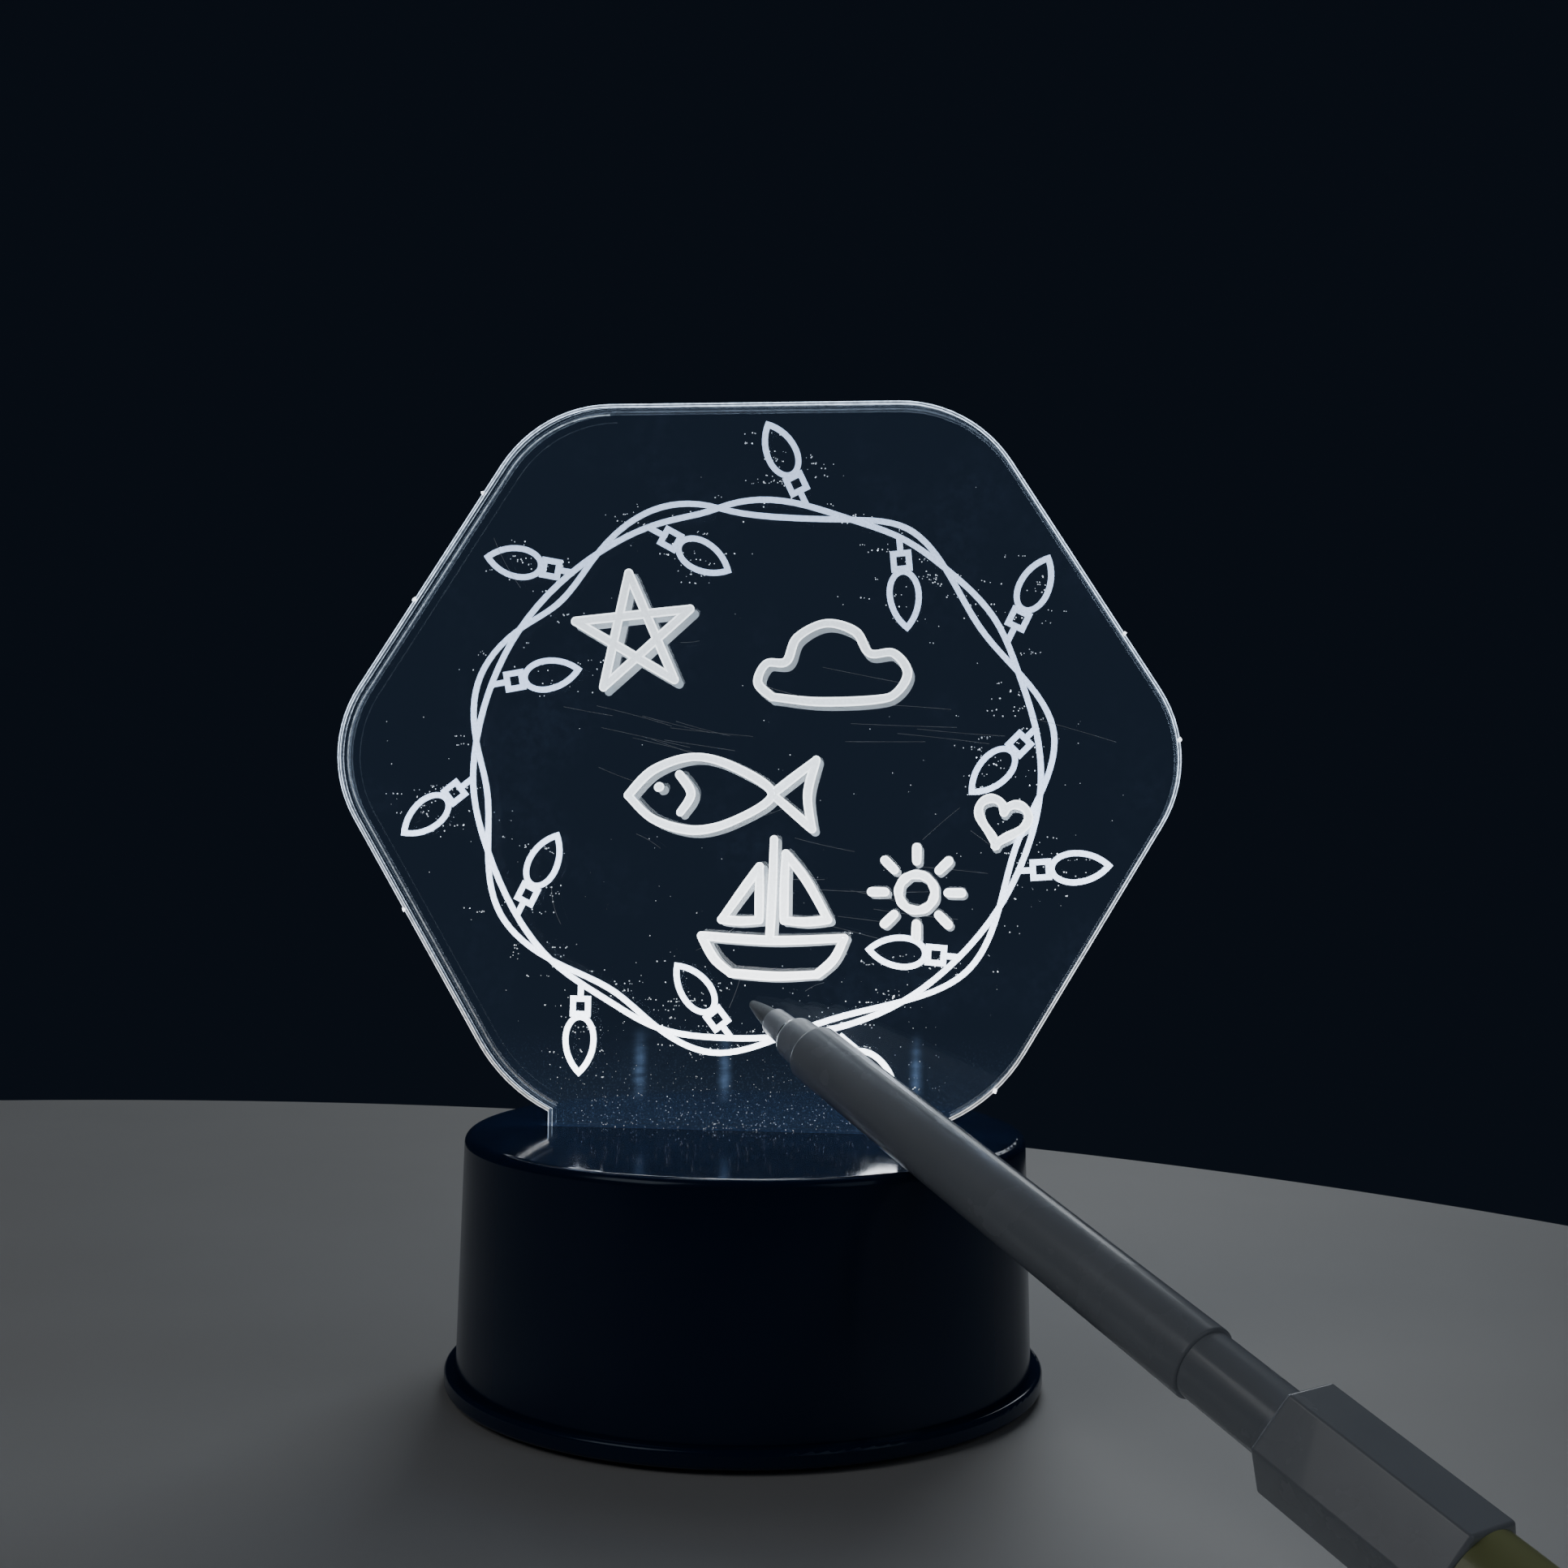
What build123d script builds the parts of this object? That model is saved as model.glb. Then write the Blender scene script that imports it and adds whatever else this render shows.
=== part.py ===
from build123d import *
import math
import os

# An edge-lit acrylic writing board on a round battery base, with its fibre-tip pen resting on it.
# Millimetres. The origin is on the table, below the centre of the base, and the panel faces -Y.

# Shared clearances
fit_gap = 0.05
running_gap = 0.08
seat_gap = 0.15
loose_gap = 0.3

# Base shell, as wide as the cells and the control board behind them need
base_height = 42.0
base_draft = 1.1
rear_space = 9.3
rim_rounding = 1.5
shell_wall = 2.2
top_plate = 2.5
slot_chamfer = 0.3
channel_wall = 2.0
channel_end = 6.5
ledge_length = 1.6

# Bottom cover with its foot ring
foot_height = 0.8
ring_overhang = 1.9
ring_height = 3.0
ring_rounding = 0.8
cover_plate = 2.0
lip_height = 2.7
lip_thickness = 1.5

# Rubber feet
foot_radius = 4.5
foot_recess = 0.5
foot_inset = 7.0
foot_count = 4
foot_rounding = 0.3

# Cover screws and the posts that they bite into
post_angles = (40.0, 140.0, 220.0, 320.0)
post_gap = 0.6
post_radius = 3.5
pad_height = 2.2
screw_pilot_radius = 1.3
screw_hole_radius = 1.7
screw_head_radius = 2.7
screw_head_height = 1.8
screw_length = 10.0
screw_bore_radius = 3.0
cross_length = 3.0
cross_width = 0.8
cross_depth = 0.9

# Cells, lying along Y
cell_count = 3
cell_radius = 7.25
cell_length = 50.5
cell_rounding = 0.6
cell_pitch = 14.8
nub_radius = 2.75
nub_length = 1.3

# Battery bay
bay_side_gap = 0.2
bay_wall = 1.5
bay_roof = 1.5

# Contacts
contact_thickness = 0.4
contact_width = 11.0
contact_reach = 6.0
contact_lift = 0.8
tab_width = 3.0
tab_rise = 1.8
tab_fold = 3.6
tab_slot = 0.8
spring_length = 6.0
spring_base_radius = 4.5
spring_tip_radius = 2.2
spring_wire = 0.7

# Battery door, hinged at its front edge
door_thickness = 1.6
door_gap = 0.25
hinge_tab_width = 5.0
hinge_tab_length = 1.3
hinge_tab_thickness = 1.2
hinge_tab_gap = 0.2
hinge_root = 1.2
hinge_notch_gap = 0.4
latch_width = 12.0
latch_thickness = 1.0
latch_height = 2.6
finger_width = 10.0
finger_depth = 2.2
door_rib_count = 5
door_rib_width = 1.0
door_rib_depth = 0.4
door_rib_pitch = 2.6

# LED board
wire_passage = 1.8
led_board_thickness = 1.6
led_board_overlap = 5.0
led_board_front = 5.0
led_board_back = 9.0
led_count = 8
led_pitch = 8.0
led_length = 3.5
led_width = 2.8
led_height = 0.8
led_gap = 0.4
resistor_count = 4
resistor_pitch = 12.0
resistor_length = 3.2
resistor_width = 1.6
resistor_height = 0.6
board_screw_inset = 2.2
board_screw_hole_radius = 1.15
board_screw_pilot_radius = 0.85
board_screw_head_radius = 1.9
board_screw_head_height = 1.3
board_screw_length = 6.0

# Control board, standing behind the bay
control_board_gap = 4.85
control_board_half_width = 19.0
control_board_floor = 2.5
control_board_height = 21.7
control_board_thickness = 1.6
rail_grip = 1.1
rail_wall = 2.8
rail_depth = 4.6
rail_height = 17.2
chip_width = 5.0
chip_height = 4.0
chip_thickness = 1.5
chip_x = 3.0
chip_rise = 8.0
small_part_width = 2.0
small_part_height = 1.2
small_part_thickness = 0.8
small_part_pitch = 4.0
small_part_count = 3
small_part_rise = 14.0

# Power jack in the rear wall
jack_x = -11.0
jack_z = 15.0
jack_width = 9.0
jack_height = 3.3
jack_length = 7.3
jack_metal = 0.3
jack_cavity = 6.2
jack_rounding = 1.6
tongue_width = 6.7
tongue_thickness = 0.7
tongue_length = 5.0
inlet_width = 12.4
inlet_height = 6.8
inlet_rounding = 2.4

# Push button in the rear wall
button_x = 11.0
button_z = 15.0
button_radius = 4.0
button_proud = 0.92
button_rounding = 0.6
button_travel = 0.5
button_collar_radius = 5.2
button_collar_thickness = 1.2
switch_side = 6.0
switch_depth = 3.5
plunger_radius = 1.7
plunger_gap = 0.05
plunger_out = 0.8
plunger_in = 0.7

# Wires
wire_radius = 0.45
bend_share = 0.45
led_wire_spread = 2.0

# Acrylic panel: a hexagon with rounded corners, its virtual bottom edge just below the base's top
panel_thickness = 5.0
panel_half_width = 75.4
panel_top_half = 36.8
panel_bottom_half = 38.0
panel_upper_rise = 59.4
panel_lower_rise = 63.9
panel_bottom_drop = 0.5
side_corner_radius = 21.6
top_corner_radius = 22.5
bottom_corner_radius = 28.9
neck_half_width = 34.0
neck_overlap = 8.0

# The panel stands at one end of the slot's play
panel_side_play = 0.4

# Engraved ring of string lights on the panel's back face
groove_depth = 0.4
line_width = 1.0
loop_radius = 47.0
loop_x = 0.5
loop_drop = 3.1
bulb_width = 5.9
bulb_length = 10.7
bulb_belly = 4.3
socket_side = 3.6
stem_length = 2.35

# Angle round the loop in degrees, then the wavy and the round strand as shares of the loop's radius
strand_shares = (
    (98.0, 0.97, 0.97),
    (84.0, 0.93, 0.99),
    (69.0, 0.98, 0.98),
    (58.0, 1.04, 1.00),
    (47.0, 1.01, 1.01),
    (32.0, 0.97, 1.03),
    (21.0, 1.02, 1.02),
    (8.0, 1.09, 1.03),
    (-4.0, 1.035, 1.035),
    (-14.0, 0.985, 1.025),
    (-28.0, 1.01, 1.01),
    (-42.0, 1.05, 0.995),
    (-56.0, 0.985, 0.985),
    (-70.0, 0.935, 0.97),
    (-83.0, 0.96, 0.96),
    (-98.0, 1.025, 0.97),
    (-110.0, 0.99, 0.99),
    (-122.0, 0.945, 0.985),
    (-137.0, 1.01, 1.01),
    (-151.0, 1.065, 1.015),
    (-163.0, 1.02, 1.02),
    (-176.0, 0.985, 1.035),
    (-186.0, 1.03, 1.03),
    (-198.0, 1.07, 1.02),
    (-211.0, 1.01, 1.01),
    (-220.0, 0.95, 1.00),
    (-234.0, 0.985, 0.985),
    (-250.0, 1.025, 0.97),
)

# Angle of a bulb's root round the loop, its share of the loop's radius, and the way that the bulb
# points, in degrees from straight out
bulb_shares = (
    (79.0, 0.985, 37.0),
    (58.5, 1.00, 217.0),
    (27.5, 1.03, 37.0),
    (9.5, 1.035, 216.0),
    (-20.0, 1.01, 24.0),
    (-41.0, 1.00, 217.0),
    (-74.0, 0.97, 35.0),
    (-94.0, 0.965, 222.0),
    (-129.0, 0.99, 38.0),
    (-148.5, 1.015, 212.0),
    (-178.5, 1.035, 37.0),
    (-198.0, 1.02, 208.0),
    (-227.5, 0.985, 37.0),
    (-246.5, 0.97, 218.0),
)

# Pen, measured along its axis from the centre of the nib's rounded tip
pen_heading = 41.9
pen_tip_x = 1.5
nib_tip_radius = 0.75
nib_radius = 1.8
nib_out = 6.1
nib_stem_radius = 1.3
nib_stem_end = 30.0
nib_belly_share = 0.45
nib_belly_radius_share = 0.76
nib_gap = 0.1
holder_out = 5.2
holder_front_radius = 2.35
holder_back_radius = 2.6
holder_rounding = 0.5
holder_stem_radius = 1.9
holder_stem_end = 27.0
collar_width = 0.7
collar_radius = 2.75
section_out = 6.1
section_front_radius = 3.6
section_back_radius = 3.9
section_rounding = 0.8
section_shank_radius = 3.35
section_shank_length = 10.0
barrel_front_radius = 4.8
barrel_back_radius = 5.2
barrel_bore_radius = 3.4
barrel_length = 120.0
barrel_rounding = 0.4
tail_radius = 4.75
tail_length = 32.0
plug_length = 6.5
plug_flange = 0.8
reservoir_radius = 3.2
reservoir_gap = 14.85
cap_half_width = 6.9
cap_length = 27.0
cap_overlap = 17.8
cap_rounding = 0.6
cap_end_radius = 6.8
cap_end_length = 18.0
cap_end_rounding = 3.0
cap_floor = 2.0
spigot_radius = 5.6
spigot_length = 8.0
seal_length = 21.0
slope_steps = 60

# Heights that follow from the sizes above
cover_bottom = foot_height
cover_top = cover_bottom + cover_plate
shell_bottom = cover_bottom + ring_height
door_top = cover_bottom + door_thickness
cell_z = door_top + loose_gap + cell_radius
bay_ceiling = cell_z + cell_radius + loose_gap
bay_top = bay_ceiling + bay_roof
led_board_bottom = bay_top + wire_passage
led_board_top = led_board_bottom + led_board_thickness
neck_bottom = led_board_top + led_height + led_gap
plate_bottom = base_height - top_plate
pad_top = cover_top + pad_height

# Half sizes of the bay, and the places of what stands behind it
bay_half_x = cell_count * cell_pitch / 2 + bay_side_gap
bay_half_y = (cell_length + spring_length) / 2 + contact_thickness
bay_outer_x = bay_half_x + bay_wall
bay_outer_y = bay_half_y + bay_wall
door_half_x = bay_half_x - door_gap
door_half_y = bay_half_y - door_gap
control_front_y = bay_outer_y + control_board_gap
control_back_y = control_front_y + control_board_thickness
control_bottom = cover_top + control_board_floor
slot_half_length = neck_half_width + panel_side_play + seat_gap
slot_half_width = panel_thickness / 2 + seat_gap
channel_half_width = slot_half_width + channel_wall
channel_half_length = neck_half_width + channel_end
led_board_half_length = neck_half_width + led_board_overlap
board_screw_x = led_board_half_length - board_screw_inset

# Radii from the control board outwards
base_foot_radius = control_back_y + rear_space + shell_wall
base_top_radius = base_foot_radius - base_draft
ring_radius = base_foot_radius + ring_overhang
lip_outer_radius = base_foot_radius - shell_wall - loose_gap
lip_inner_radius = lip_outer_radius - lip_thickness
foot_circle = ring_radius - foot_inset
post_circle = lip_inner_radius - post_radius - post_gap


def shell_radius(z):
    """Outer radius of the drafted shell at a height."""
    share = (z - shell_bottom) / (base_height - shell_bottom)
    return base_foot_radius + (base_top_radius - base_foot_radius) * share


def finish(part, name):
    """Label a finished piece and write it."""
    part.label = name
    export_step(part, "parts/" + name + ".step")


def on_circle(radius, angles):
    """Points on a circle about the origin, at angles in degrees."""
    return [(radius * math.cos(math.radians(a)), radius * math.sin(math.radians(a))) for a in angles]


os.makedirs("parts", exist_ok=True)

post_points = on_circle(post_circle, post_angles)
foot_points = on_circle(foot_circle, [360.0 / foot_count * i for i in range(foot_count)])
board_screw_points = [(-board_screw_x, 0), (board_screw_x, 0)]

# Base shell: a drafted cup, open below, with the slot's channel and the screw posts hanging inside
with BuildPart() as base_shell:
    with BuildSketch(Plane.XZ):
        with BuildLine():
            Polyline(
                (0, base_height),
                (base_top_radius, base_height),
                (base_foot_radius, shell_bottom),
                (base_foot_radius - shell_wall, shell_bottom),
                (shell_radius(plate_bottom) - shell_wall, plate_bottom),
                (0, plate_bottom),
                close=True,
            )
        make_face()
    revolve(axis=Axis.Z)
    fillet(base_shell.faces().sort_by(Axis.Z)[-1].edges(), radius=rim_rounding)
    with BuildSketch(Plane.XY.offset(led_board_top)):
        Rectangle(2 * channel_half_length, 2 * channel_half_width)
    extrude(amount=plate_bottom - led_board_top)
    with BuildSketch(Plane.XY.offset(pad_top)):
        with Locations(*post_points):
            Circle(post_radius)
    extrude(amount=plate_bottom - pad_top)
    with BuildSketch(Plane.XY.offset(neck_bottom)):
        Rectangle(2 * slot_half_length, 2 * slot_half_width)
    extrude(amount=base_height - neck_bottom, mode=Mode.SUBTRACT)
    with BuildSketch(Plane.XY.offset(led_board_top)):
        Rectangle(2 * (slot_half_length - ledge_length), 2 * slot_half_width)
    extrude(amount=neck_bottom - led_board_top, mode=Mode.SUBTRACT)
    slot_rim = base_shell.edges().filter_by(GeomType.LINE).group_by(Axis.Z)[-1]
    chamfer(slot_rim, length=slot_chamfer)
    with BuildSketch(Plane.XY.offset(pad_top)):
        with Locations(*post_points):
            Circle(screw_pilot_radius)
    extrude(amount=screw_length, mode=Mode.SUBTRACT)
    with BuildSketch(Plane.XY.offset(led_board_top)):
        with Locations(*board_screw_points):
            Circle(board_screw_pilot_radius)
    extrude(amount=board_screw_length, mode=Mode.SUBTRACT)
    with BuildSketch(Plane(origin=(button_x, control_back_y, button_z), z_dir=(0, 1, 0))):
        Circle(button_radius + running_gap)
    extrude(amount=ring_radius - control_back_y, mode=Mode.SUBTRACT)
    with BuildSketch(Plane(origin=(jack_x, control_back_y, jack_z), x_dir=(1, 0, 0), z_dir=(0, 1, 0))):
        RectangleRounded(inlet_width, inlet_height, inlet_rounding)
    extrude(amount=ring_radius - control_back_y, mode=Mode.SUBTRACT)
finish(base_shell.part, "base_shell")

# Bottom cover: foot ring, plate, locating lip, battery bay, screw pads and the control board's rails
hinge_tab_points = [(-cell_pitch / 2, 0), (cell_pitch / 2, 0)]
hinge_tab_bottom = cover_top + hinge_tab_gap
hinge_tab_top = hinge_tab_bottom + hinge_tab_thickness
rail_inner_x = control_board_half_width - rail_grip
rail_outer_x = rail_inner_x + rail_grip + rail_wall
rail_centre_x = (rail_inner_x + rail_outer_x) / 2
rail_centre_y = control_front_y + control_board_thickness / 2
terminal_x = cell_pitch * (cell_count - 1) / 2
with BuildPart() as bottom_cover:
    with BuildSketch(Plane.XY.offset(cover_bottom)):
        Circle(ring_radius)
    extrude(amount=ring_height)
    fillet(bottom_cover.edges(), radius=ring_rounding)
    with BuildSketch(Plane.XY.offset(shell_bottom)):
        Circle(lip_outer_radius)
    extrude(amount=lip_height)
    with BuildSketch(Plane.XY.offset(cover_top)):
        Circle(lip_inner_radius)
    extrude(amount=lip_height + ring_height, mode=Mode.SUBTRACT)
    with BuildSketch(Plane.XY.offset(cover_top)):
        Rectangle(2 * bay_outer_x, 2 * bay_outer_y)
    extrude(amount=bay_top - cover_top)
    with BuildSketch(Plane.XY.offset(cover_bottom)):
        Rectangle(2 * bay_half_x, 2 * bay_half_y)
    extrude(amount=bay_ceiling - cover_bottom, mode=Mode.SUBTRACT)
    with BuildSketch(Plane.XY.offset(cover_top)):
        with Locations((0, -bay_half_y)):
            with Locations(*hinge_tab_points):
                Rectangle(hinge_tab_width + 2 * hinge_notch_gap, 2 * bay_wall)
    extrude(amount=hinge_tab_top + hinge_notch_gap - cover_top, mode=Mode.SUBTRACT)
    with BuildSketch(Plane.XY.offset(bay_ceiling)):
        with Locations((-terminal_x, bay_half_y - tab_slot / 2), (terminal_x, tab_slot / 2 - bay_half_y)):
            Rectangle(tab_width + 2 * seat_gap, tab_slot)
    extrude(amount=bay_roof, mode=Mode.SUBTRACT)
    with BuildSketch(Plane.XY.offset(cover_top)):
        with Locations(*post_points):
            Circle(post_radius)
    extrude(amount=pad_height)
    with BuildSketch(Plane.XY.offset(cover_bottom)):
        with Locations(*post_points):
            Circle(screw_bore_radius)
    extrude(amount=pad_height, mode=Mode.SUBTRACT)
    with BuildSketch(Plane.XY.offset(cover_bottom)):
        with Locations(*post_points):
            Circle(screw_hole_radius)
    extrude(amount=pad_top - cover_bottom, mode=Mode.SUBTRACT)
    with BuildSketch(Plane.XY.offset(cover_bottom)):
        with Locations(*foot_points):
            Circle(foot_radius + seat_gap)
    extrude(amount=foot_recess, mode=Mode.SUBTRACT)
    with BuildSketch(Plane.XY.offset(cover_top)):
        with Locations((-rail_centre_x, rail_centre_y), (rail_centre_x, rail_centre_y)):
            Rectangle(rail_outer_x - rail_inner_x, rail_depth)
    extrude(amount=rail_height)
    with BuildSketch(Plane.XY.offset(control_bottom)):
        with Locations((0, rail_centre_y)):
            Rectangle(2 * (control_board_half_width + seat_gap), control_board_thickness + 2 * seat_gap)
    extrude(amount=rail_height, mode=Mode.SUBTRACT)
finish(bottom_cover.part, "bottom_cover")

# Rubber feet
with BuildPart() as rubber_feet:
    with BuildSketch():
        with Locations(*foot_points):
            Circle(foot_radius)
    extrude(amount=foot_height + foot_recess)
    fillet(rubber_feet.edges().group_by(Axis.Z)[0], radius=foot_rounding)
finish(rubber_feet.part, "rubber_feet")

# Cover screws: cross-head, driven up from below
with BuildPart() as cover_screws:
    with BuildSketch(Plane.XY.offset(cover_bottom + pad_height)):
        with Locations(*post_points):
            Circle(screw_pilot_radius - fit_gap)
    extrude(amount=screw_length)
    with BuildSketch(Plane.XY.offset(cover_bottom + pad_height - screw_head_height)):
        with Locations(*post_points):
            Circle(screw_head_radius)
    extrude(amount=screw_head_height)
    with BuildSketch(Plane.XY.offset(cover_bottom + pad_height - screw_head_height)):
        with Locations(*post_points):
            Rectangle(cross_length, cross_width)
            Rectangle(cross_width, cross_length)
    extrude(amount=cross_depth, mode=Mode.SUBTRACT)
finish(cover_screws.part, "cover_screws")

# Battery door: plate, hinge tabs over the cover's plate, snap arm with a finger recess, and grip ribs
with BuildPart() as battery_door:
    with BuildSketch(Plane.XY.offset(cover_bottom)):
        Rectangle(2 * door_half_x, 2 * door_half_y)
    extrude(amount=door_thickness)
    with BuildSketch(Plane.XY.offset(door_top)):
        with Locations((0, hinge_root / 2 - door_half_y)):
            with Locations(*hinge_tab_points):
                Rectangle(hinge_tab_width, hinge_root)
    extrude(amount=hinge_tab_top - door_top)
    with BuildSketch(Plane.XY.offset(hinge_tab_bottom)):
        with Locations((0, hinge_root / 2 - hinge_tab_length / 2 - door_half_y)):
            with Locations(*hinge_tab_points):
                Rectangle(hinge_tab_width, hinge_root + hinge_tab_length)
    extrude(amount=hinge_tab_thickness)
    with BuildSketch(Plane.XY.offset(cover_bottom)):
        with Locations((0, door_half_y - finger_depth / 2)):
            Rectangle(finger_width, finger_depth)
    extrude(amount=door_thickness, mode=Mode.SUBTRACT)
    with BuildSketch(Plane.XY.offset(door_top)):
        with Locations((0, door_half_y - finger_depth - latch_thickness / 2)):
            Rectangle(latch_width, latch_thickness)
    extrude(amount=latch_height)
    with BuildSketch(Plane.XY.offset(cover_bottom)):
        with Locations((0, door_half_y / 2)):
            with GridLocations(0, door_rib_pitch, 1, door_rib_count):
                Rectangle(door_half_x, door_rib_width)
    extrude(amount=door_rib_depth, mode=Mode.SUBTRACT)
finish(battery_door.part, "battery_door")


def cell_plus_side(index):
    """The side that a cell's plus end points to, along Y. Neighbours alternate."""
    return 1 if index % 2 == 0 else -1


def cell_x(index):
    return cell_pitch * (index - (cell_count - 1) / 2)


# Cells, each from its flat minus end to its nub
cell_start = bay_half_y - contact_thickness - spring_length
for index in range(cell_count):
    side = cell_plus_side(index)
    cell_plane = Plane(origin=(cell_x(index), -side * cell_start, cell_z), z_dir=(0, side, 0))
    with BuildPart() as battery:
        with BuildSketch(cell_plane):
            Circle(cell_radius)
        extrude(amount=cell_length - nub_length)
        fillet(battery.edges().filter_by(GeomType.CIRCLE), radius=cell_rounding)
        with BuildSketch(cell_plane.offset(cell_length - nub_length)):
            Circle(nub_radius)
        extrude(amount=nub_length)
    finish(battery.part, "battery_" + str(index + 1))

# Contact springs: hollow cones that narrow from the contact plate to the cell's minus end
with BuildPart() as contact_springs:
    for index in range(cell_count):
        side = cell_plus_side(index)
        spring_start = bay_half_y - contact_thickness
        spring_plane = Plane(origin=(cell_x(index), -side * spring_start, cell_z), z_dir=(0, side, 0))
        with BuildSketch(spring_plane):
            Circle(spring_base_radius)
        with BuildSketch(spring_plane.offset(spring_length)):
            Circle(spring_tip_radius)
        loft()
        with BuildSketch(spring_plane):
            Circle(spring_base_radius - spring_wire)
        with BuildSketch(spring_plane.offset(spring_length)):
            Circle(spring_tip_radius - spring_wire)
        loft(mode=Mode.SUBTRACT)
finish(contact_springs.part, "contact_springs")

# Contact plates: a terminal and a link at each end of the bay, and the terminals' solder tabs
contact_height = 2 * contact_reach
contact_bottom = cell_z - contact_reach + contact_lift
contact_top = contact_bottom + contact_height
with BuildPart() as battery_contacts:
    for side in (1, -1):
        plate_y = side * (bay_half_y - contact_thickness / 2)
        with BuildSketch(Plane.XY.offset(contact_bottom)):
            with Locations((-side * terminal_x, plate_y)):
                Rectangle(contact_width, contact_thickness)
            with Locations((side * terminal_x / 2, plate_y)):
                Rectangle(cell_pitch + contact_width, contact_thickness)
        extrude(amount=contact_height)
        with BuildSketch(Plane.XY.offset(contact_top)):
            with Locations((-side * terminal_x, plate_y)):
                Rectangle(tab_width, contact_thickness)
        tab_top = bay_top + contact_thickness if side > 0 else bay_top + tab_rise
        extrude(amount=tab_top - contact_top)
    with BuildSketch(Plane.XY.offset(bay_top)):
        with Locations((-terminal_x, bay_half_y - tab_fold / 2)):
            Rectangle(tab_width, tab_fold)
    extrude(amount=contact_thickness)
finish(battery_contacts.part, "battery_contacts")

# LED board, its chips, its resistors and its screws
led_board_depth = led_board_front + led_board_back
with BuildPart() as led_board:
    with BuildSketch(Plane.XY.offset(led_board_bottom)):
        with Locations((0, (led_board_back - led_board_front) / 2)):
            Rectangle(2 * led_board_half_length, led_board_depth)
        with Locations(*board_screw_points):
            Circle(board_screw_hole_radius, mode=Mode.SUBTRACT)
    extrude(amount=led_board_thickness)
finish(led_board.part, "led_board")

with BuildPart() as led_chips:
    with BuildSketch(Plane.XY.offset(led_board_top)):
        with GridLocations(led_pitch, 0, led_count, 1):
            Rectangle(led_length, led_width)
    extrude(amount=led_height)
finish(led_chips.part, "led_chips")

resistor_y = (channel_half_width + led_board_back) / 2
with BuildPart() as led_resistors:
    with BuildSketch(Plane.XY.offset(led_board_top)):
        with Locations((0, resistor_y)):
            with GridLocations(resistor_pitch, 0, resistor_count, 1):
                Rectangle(resistor_length, resistor_width)
    extrude(amount=resistor_height)
finish(led_resistors.part, "led_resistors")

with BuildPart() as led_board_screws:
    with BuildSketch(Plane.XY.offset(led_board_bottom)):
        with Locations(*board_screw_points):
            Circle(board_screw_pilot_radius - fit_gap)
    extrude(amount=led_board_thickness + board_screw_length - fit_gap)
    with BuildSketch(Plane.XY.offset(led_board_bottom - board_screw_head_height)):
        with Locations(*board_screw_points):
            Circle(board_screw_head_radius)
    extrude(amount=board_screw_head_height)
finish(led_board_screws.part, "led_board_screws")

# Control board and the parts on its inner face
with BuildPart() as control_board:
    with BuildSketch(Plane.XY.offset(control_bottom)):
        with Locations((0, control_front_y + control_board_thickness / 2)):
            Rectangle(2 * control_board_half_width, control_board_thickness)
    extrude(amount=control_board_height)
finish(control_board.part, "control_board")

with BuildPart() as driver_chip:
    with BuildSketch(Plane.XY.offset(control_bottom + chip_rise - chip_height / 2)):
        with Locations((chip_x, control_front_y - chip_thickness / 2)):
            Rectangle(chip_width, chip_thickness)
    extrude(amount=chip_height)
finish(driver_chip.part, "driver_chip")

with BuildPart() as board_components:
    with BuildSketch(Plane.XY.offset(control_bottom + small_part_rise)):
        with Locations((0, control_front_y - small_part_thickness / 2)):
            with GridLocations(small_part_pitch, 0, small_part_count, 1):
                Rectangle(small_part_width, small_part_thickness)
    extrude(amount=small_part_height)
finish(board_components.part, "board_components")

# Power jack: a folded metal shell with a contact tongue, facing the inlet in the rear wall
jack_plane = Plane(origin=(jack_x, control_back_y, jack_z), x_dir=(1, 0, 0), z_dir=(0, 1, 0))
with BuildPart() as power_jack:
    with BuildSketch(jack_plane):
        RectangleRounded(jack_width, jack_height, jack_rounding)
    extrude(amount=jack_length)
    with BuildSketch(jack_plane.offset(jack_length - jack_cavity)):
        RectangleRounded(
            jack_width - 2 * jack_metal, jack_height - 2 * jack_metal, jack_rounding - jack_metal
        )
    extrude(amount=jack_cavity, mode=Mode.SUBTRACT)
finish(power_jack.part, "power_jack")

with BuildPart() as jack_tongue:
    with BuildSketch(jack_plane.offset(jack_length - jack_cavity)):
        Rectangle(tongue_width, tongue_thickness)
    extrude(amount=tongue_length)
finish(jack_tongue.part, "jack_tongue")

# Tact switch, its plunger and the push button in front of it, on one axis along Y
switch_plane = Plane(origin=(button_x, control_back_y, button_z), x_dir=(1, 0, 0), z_dir=(0, 1, 0))
plunger_length = plunger_in + plunger_out
with BuildPart() as switch_housing:
    with BuildSketch(switch_plane):
        Rectangle(switch_side, switch_side)
    extrude(amount=switch_depth)
    with BuildSketch(switch_plane.offset(switch_depth)):
        Circle(plunger_radius + plunger_gap)
    extrude(amount=-(plunger_in + button_travel + seat_gap), mode=Mode.SUBTRACT)
finish(switch_housing.part, "switch_housing")

with BuildPart() as switch_plunger:
    with BuildSketch(switch_plane.offset(switch_depth - plunger_in)):
        Circle(plunger_radius)
    extrude(amount=plunger_length)
finish(switch_plunger.part, "switch_plunger")

button_back = control_back_y + switch_depth + plunger_out
button_face = shell_radius(button_z) + button_proud
with BuildPart() as push_button:
    with BuildSketch(switch_plane.offset(button_back - control_back_y)):
        Circle(button_radius)
    extrude(amount=button_face - button_back)
    fillet(push_button.edges().group_by(Axis.Y)[-1], radius=button_rounding)
    with BuildSketch(switch_plane.offset(button_back - control_back_y)):
        Circle(button_collar_radius)
    extrude(amount=button_collar_thickness)
finish(push_button.part, "push_button")


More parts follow.
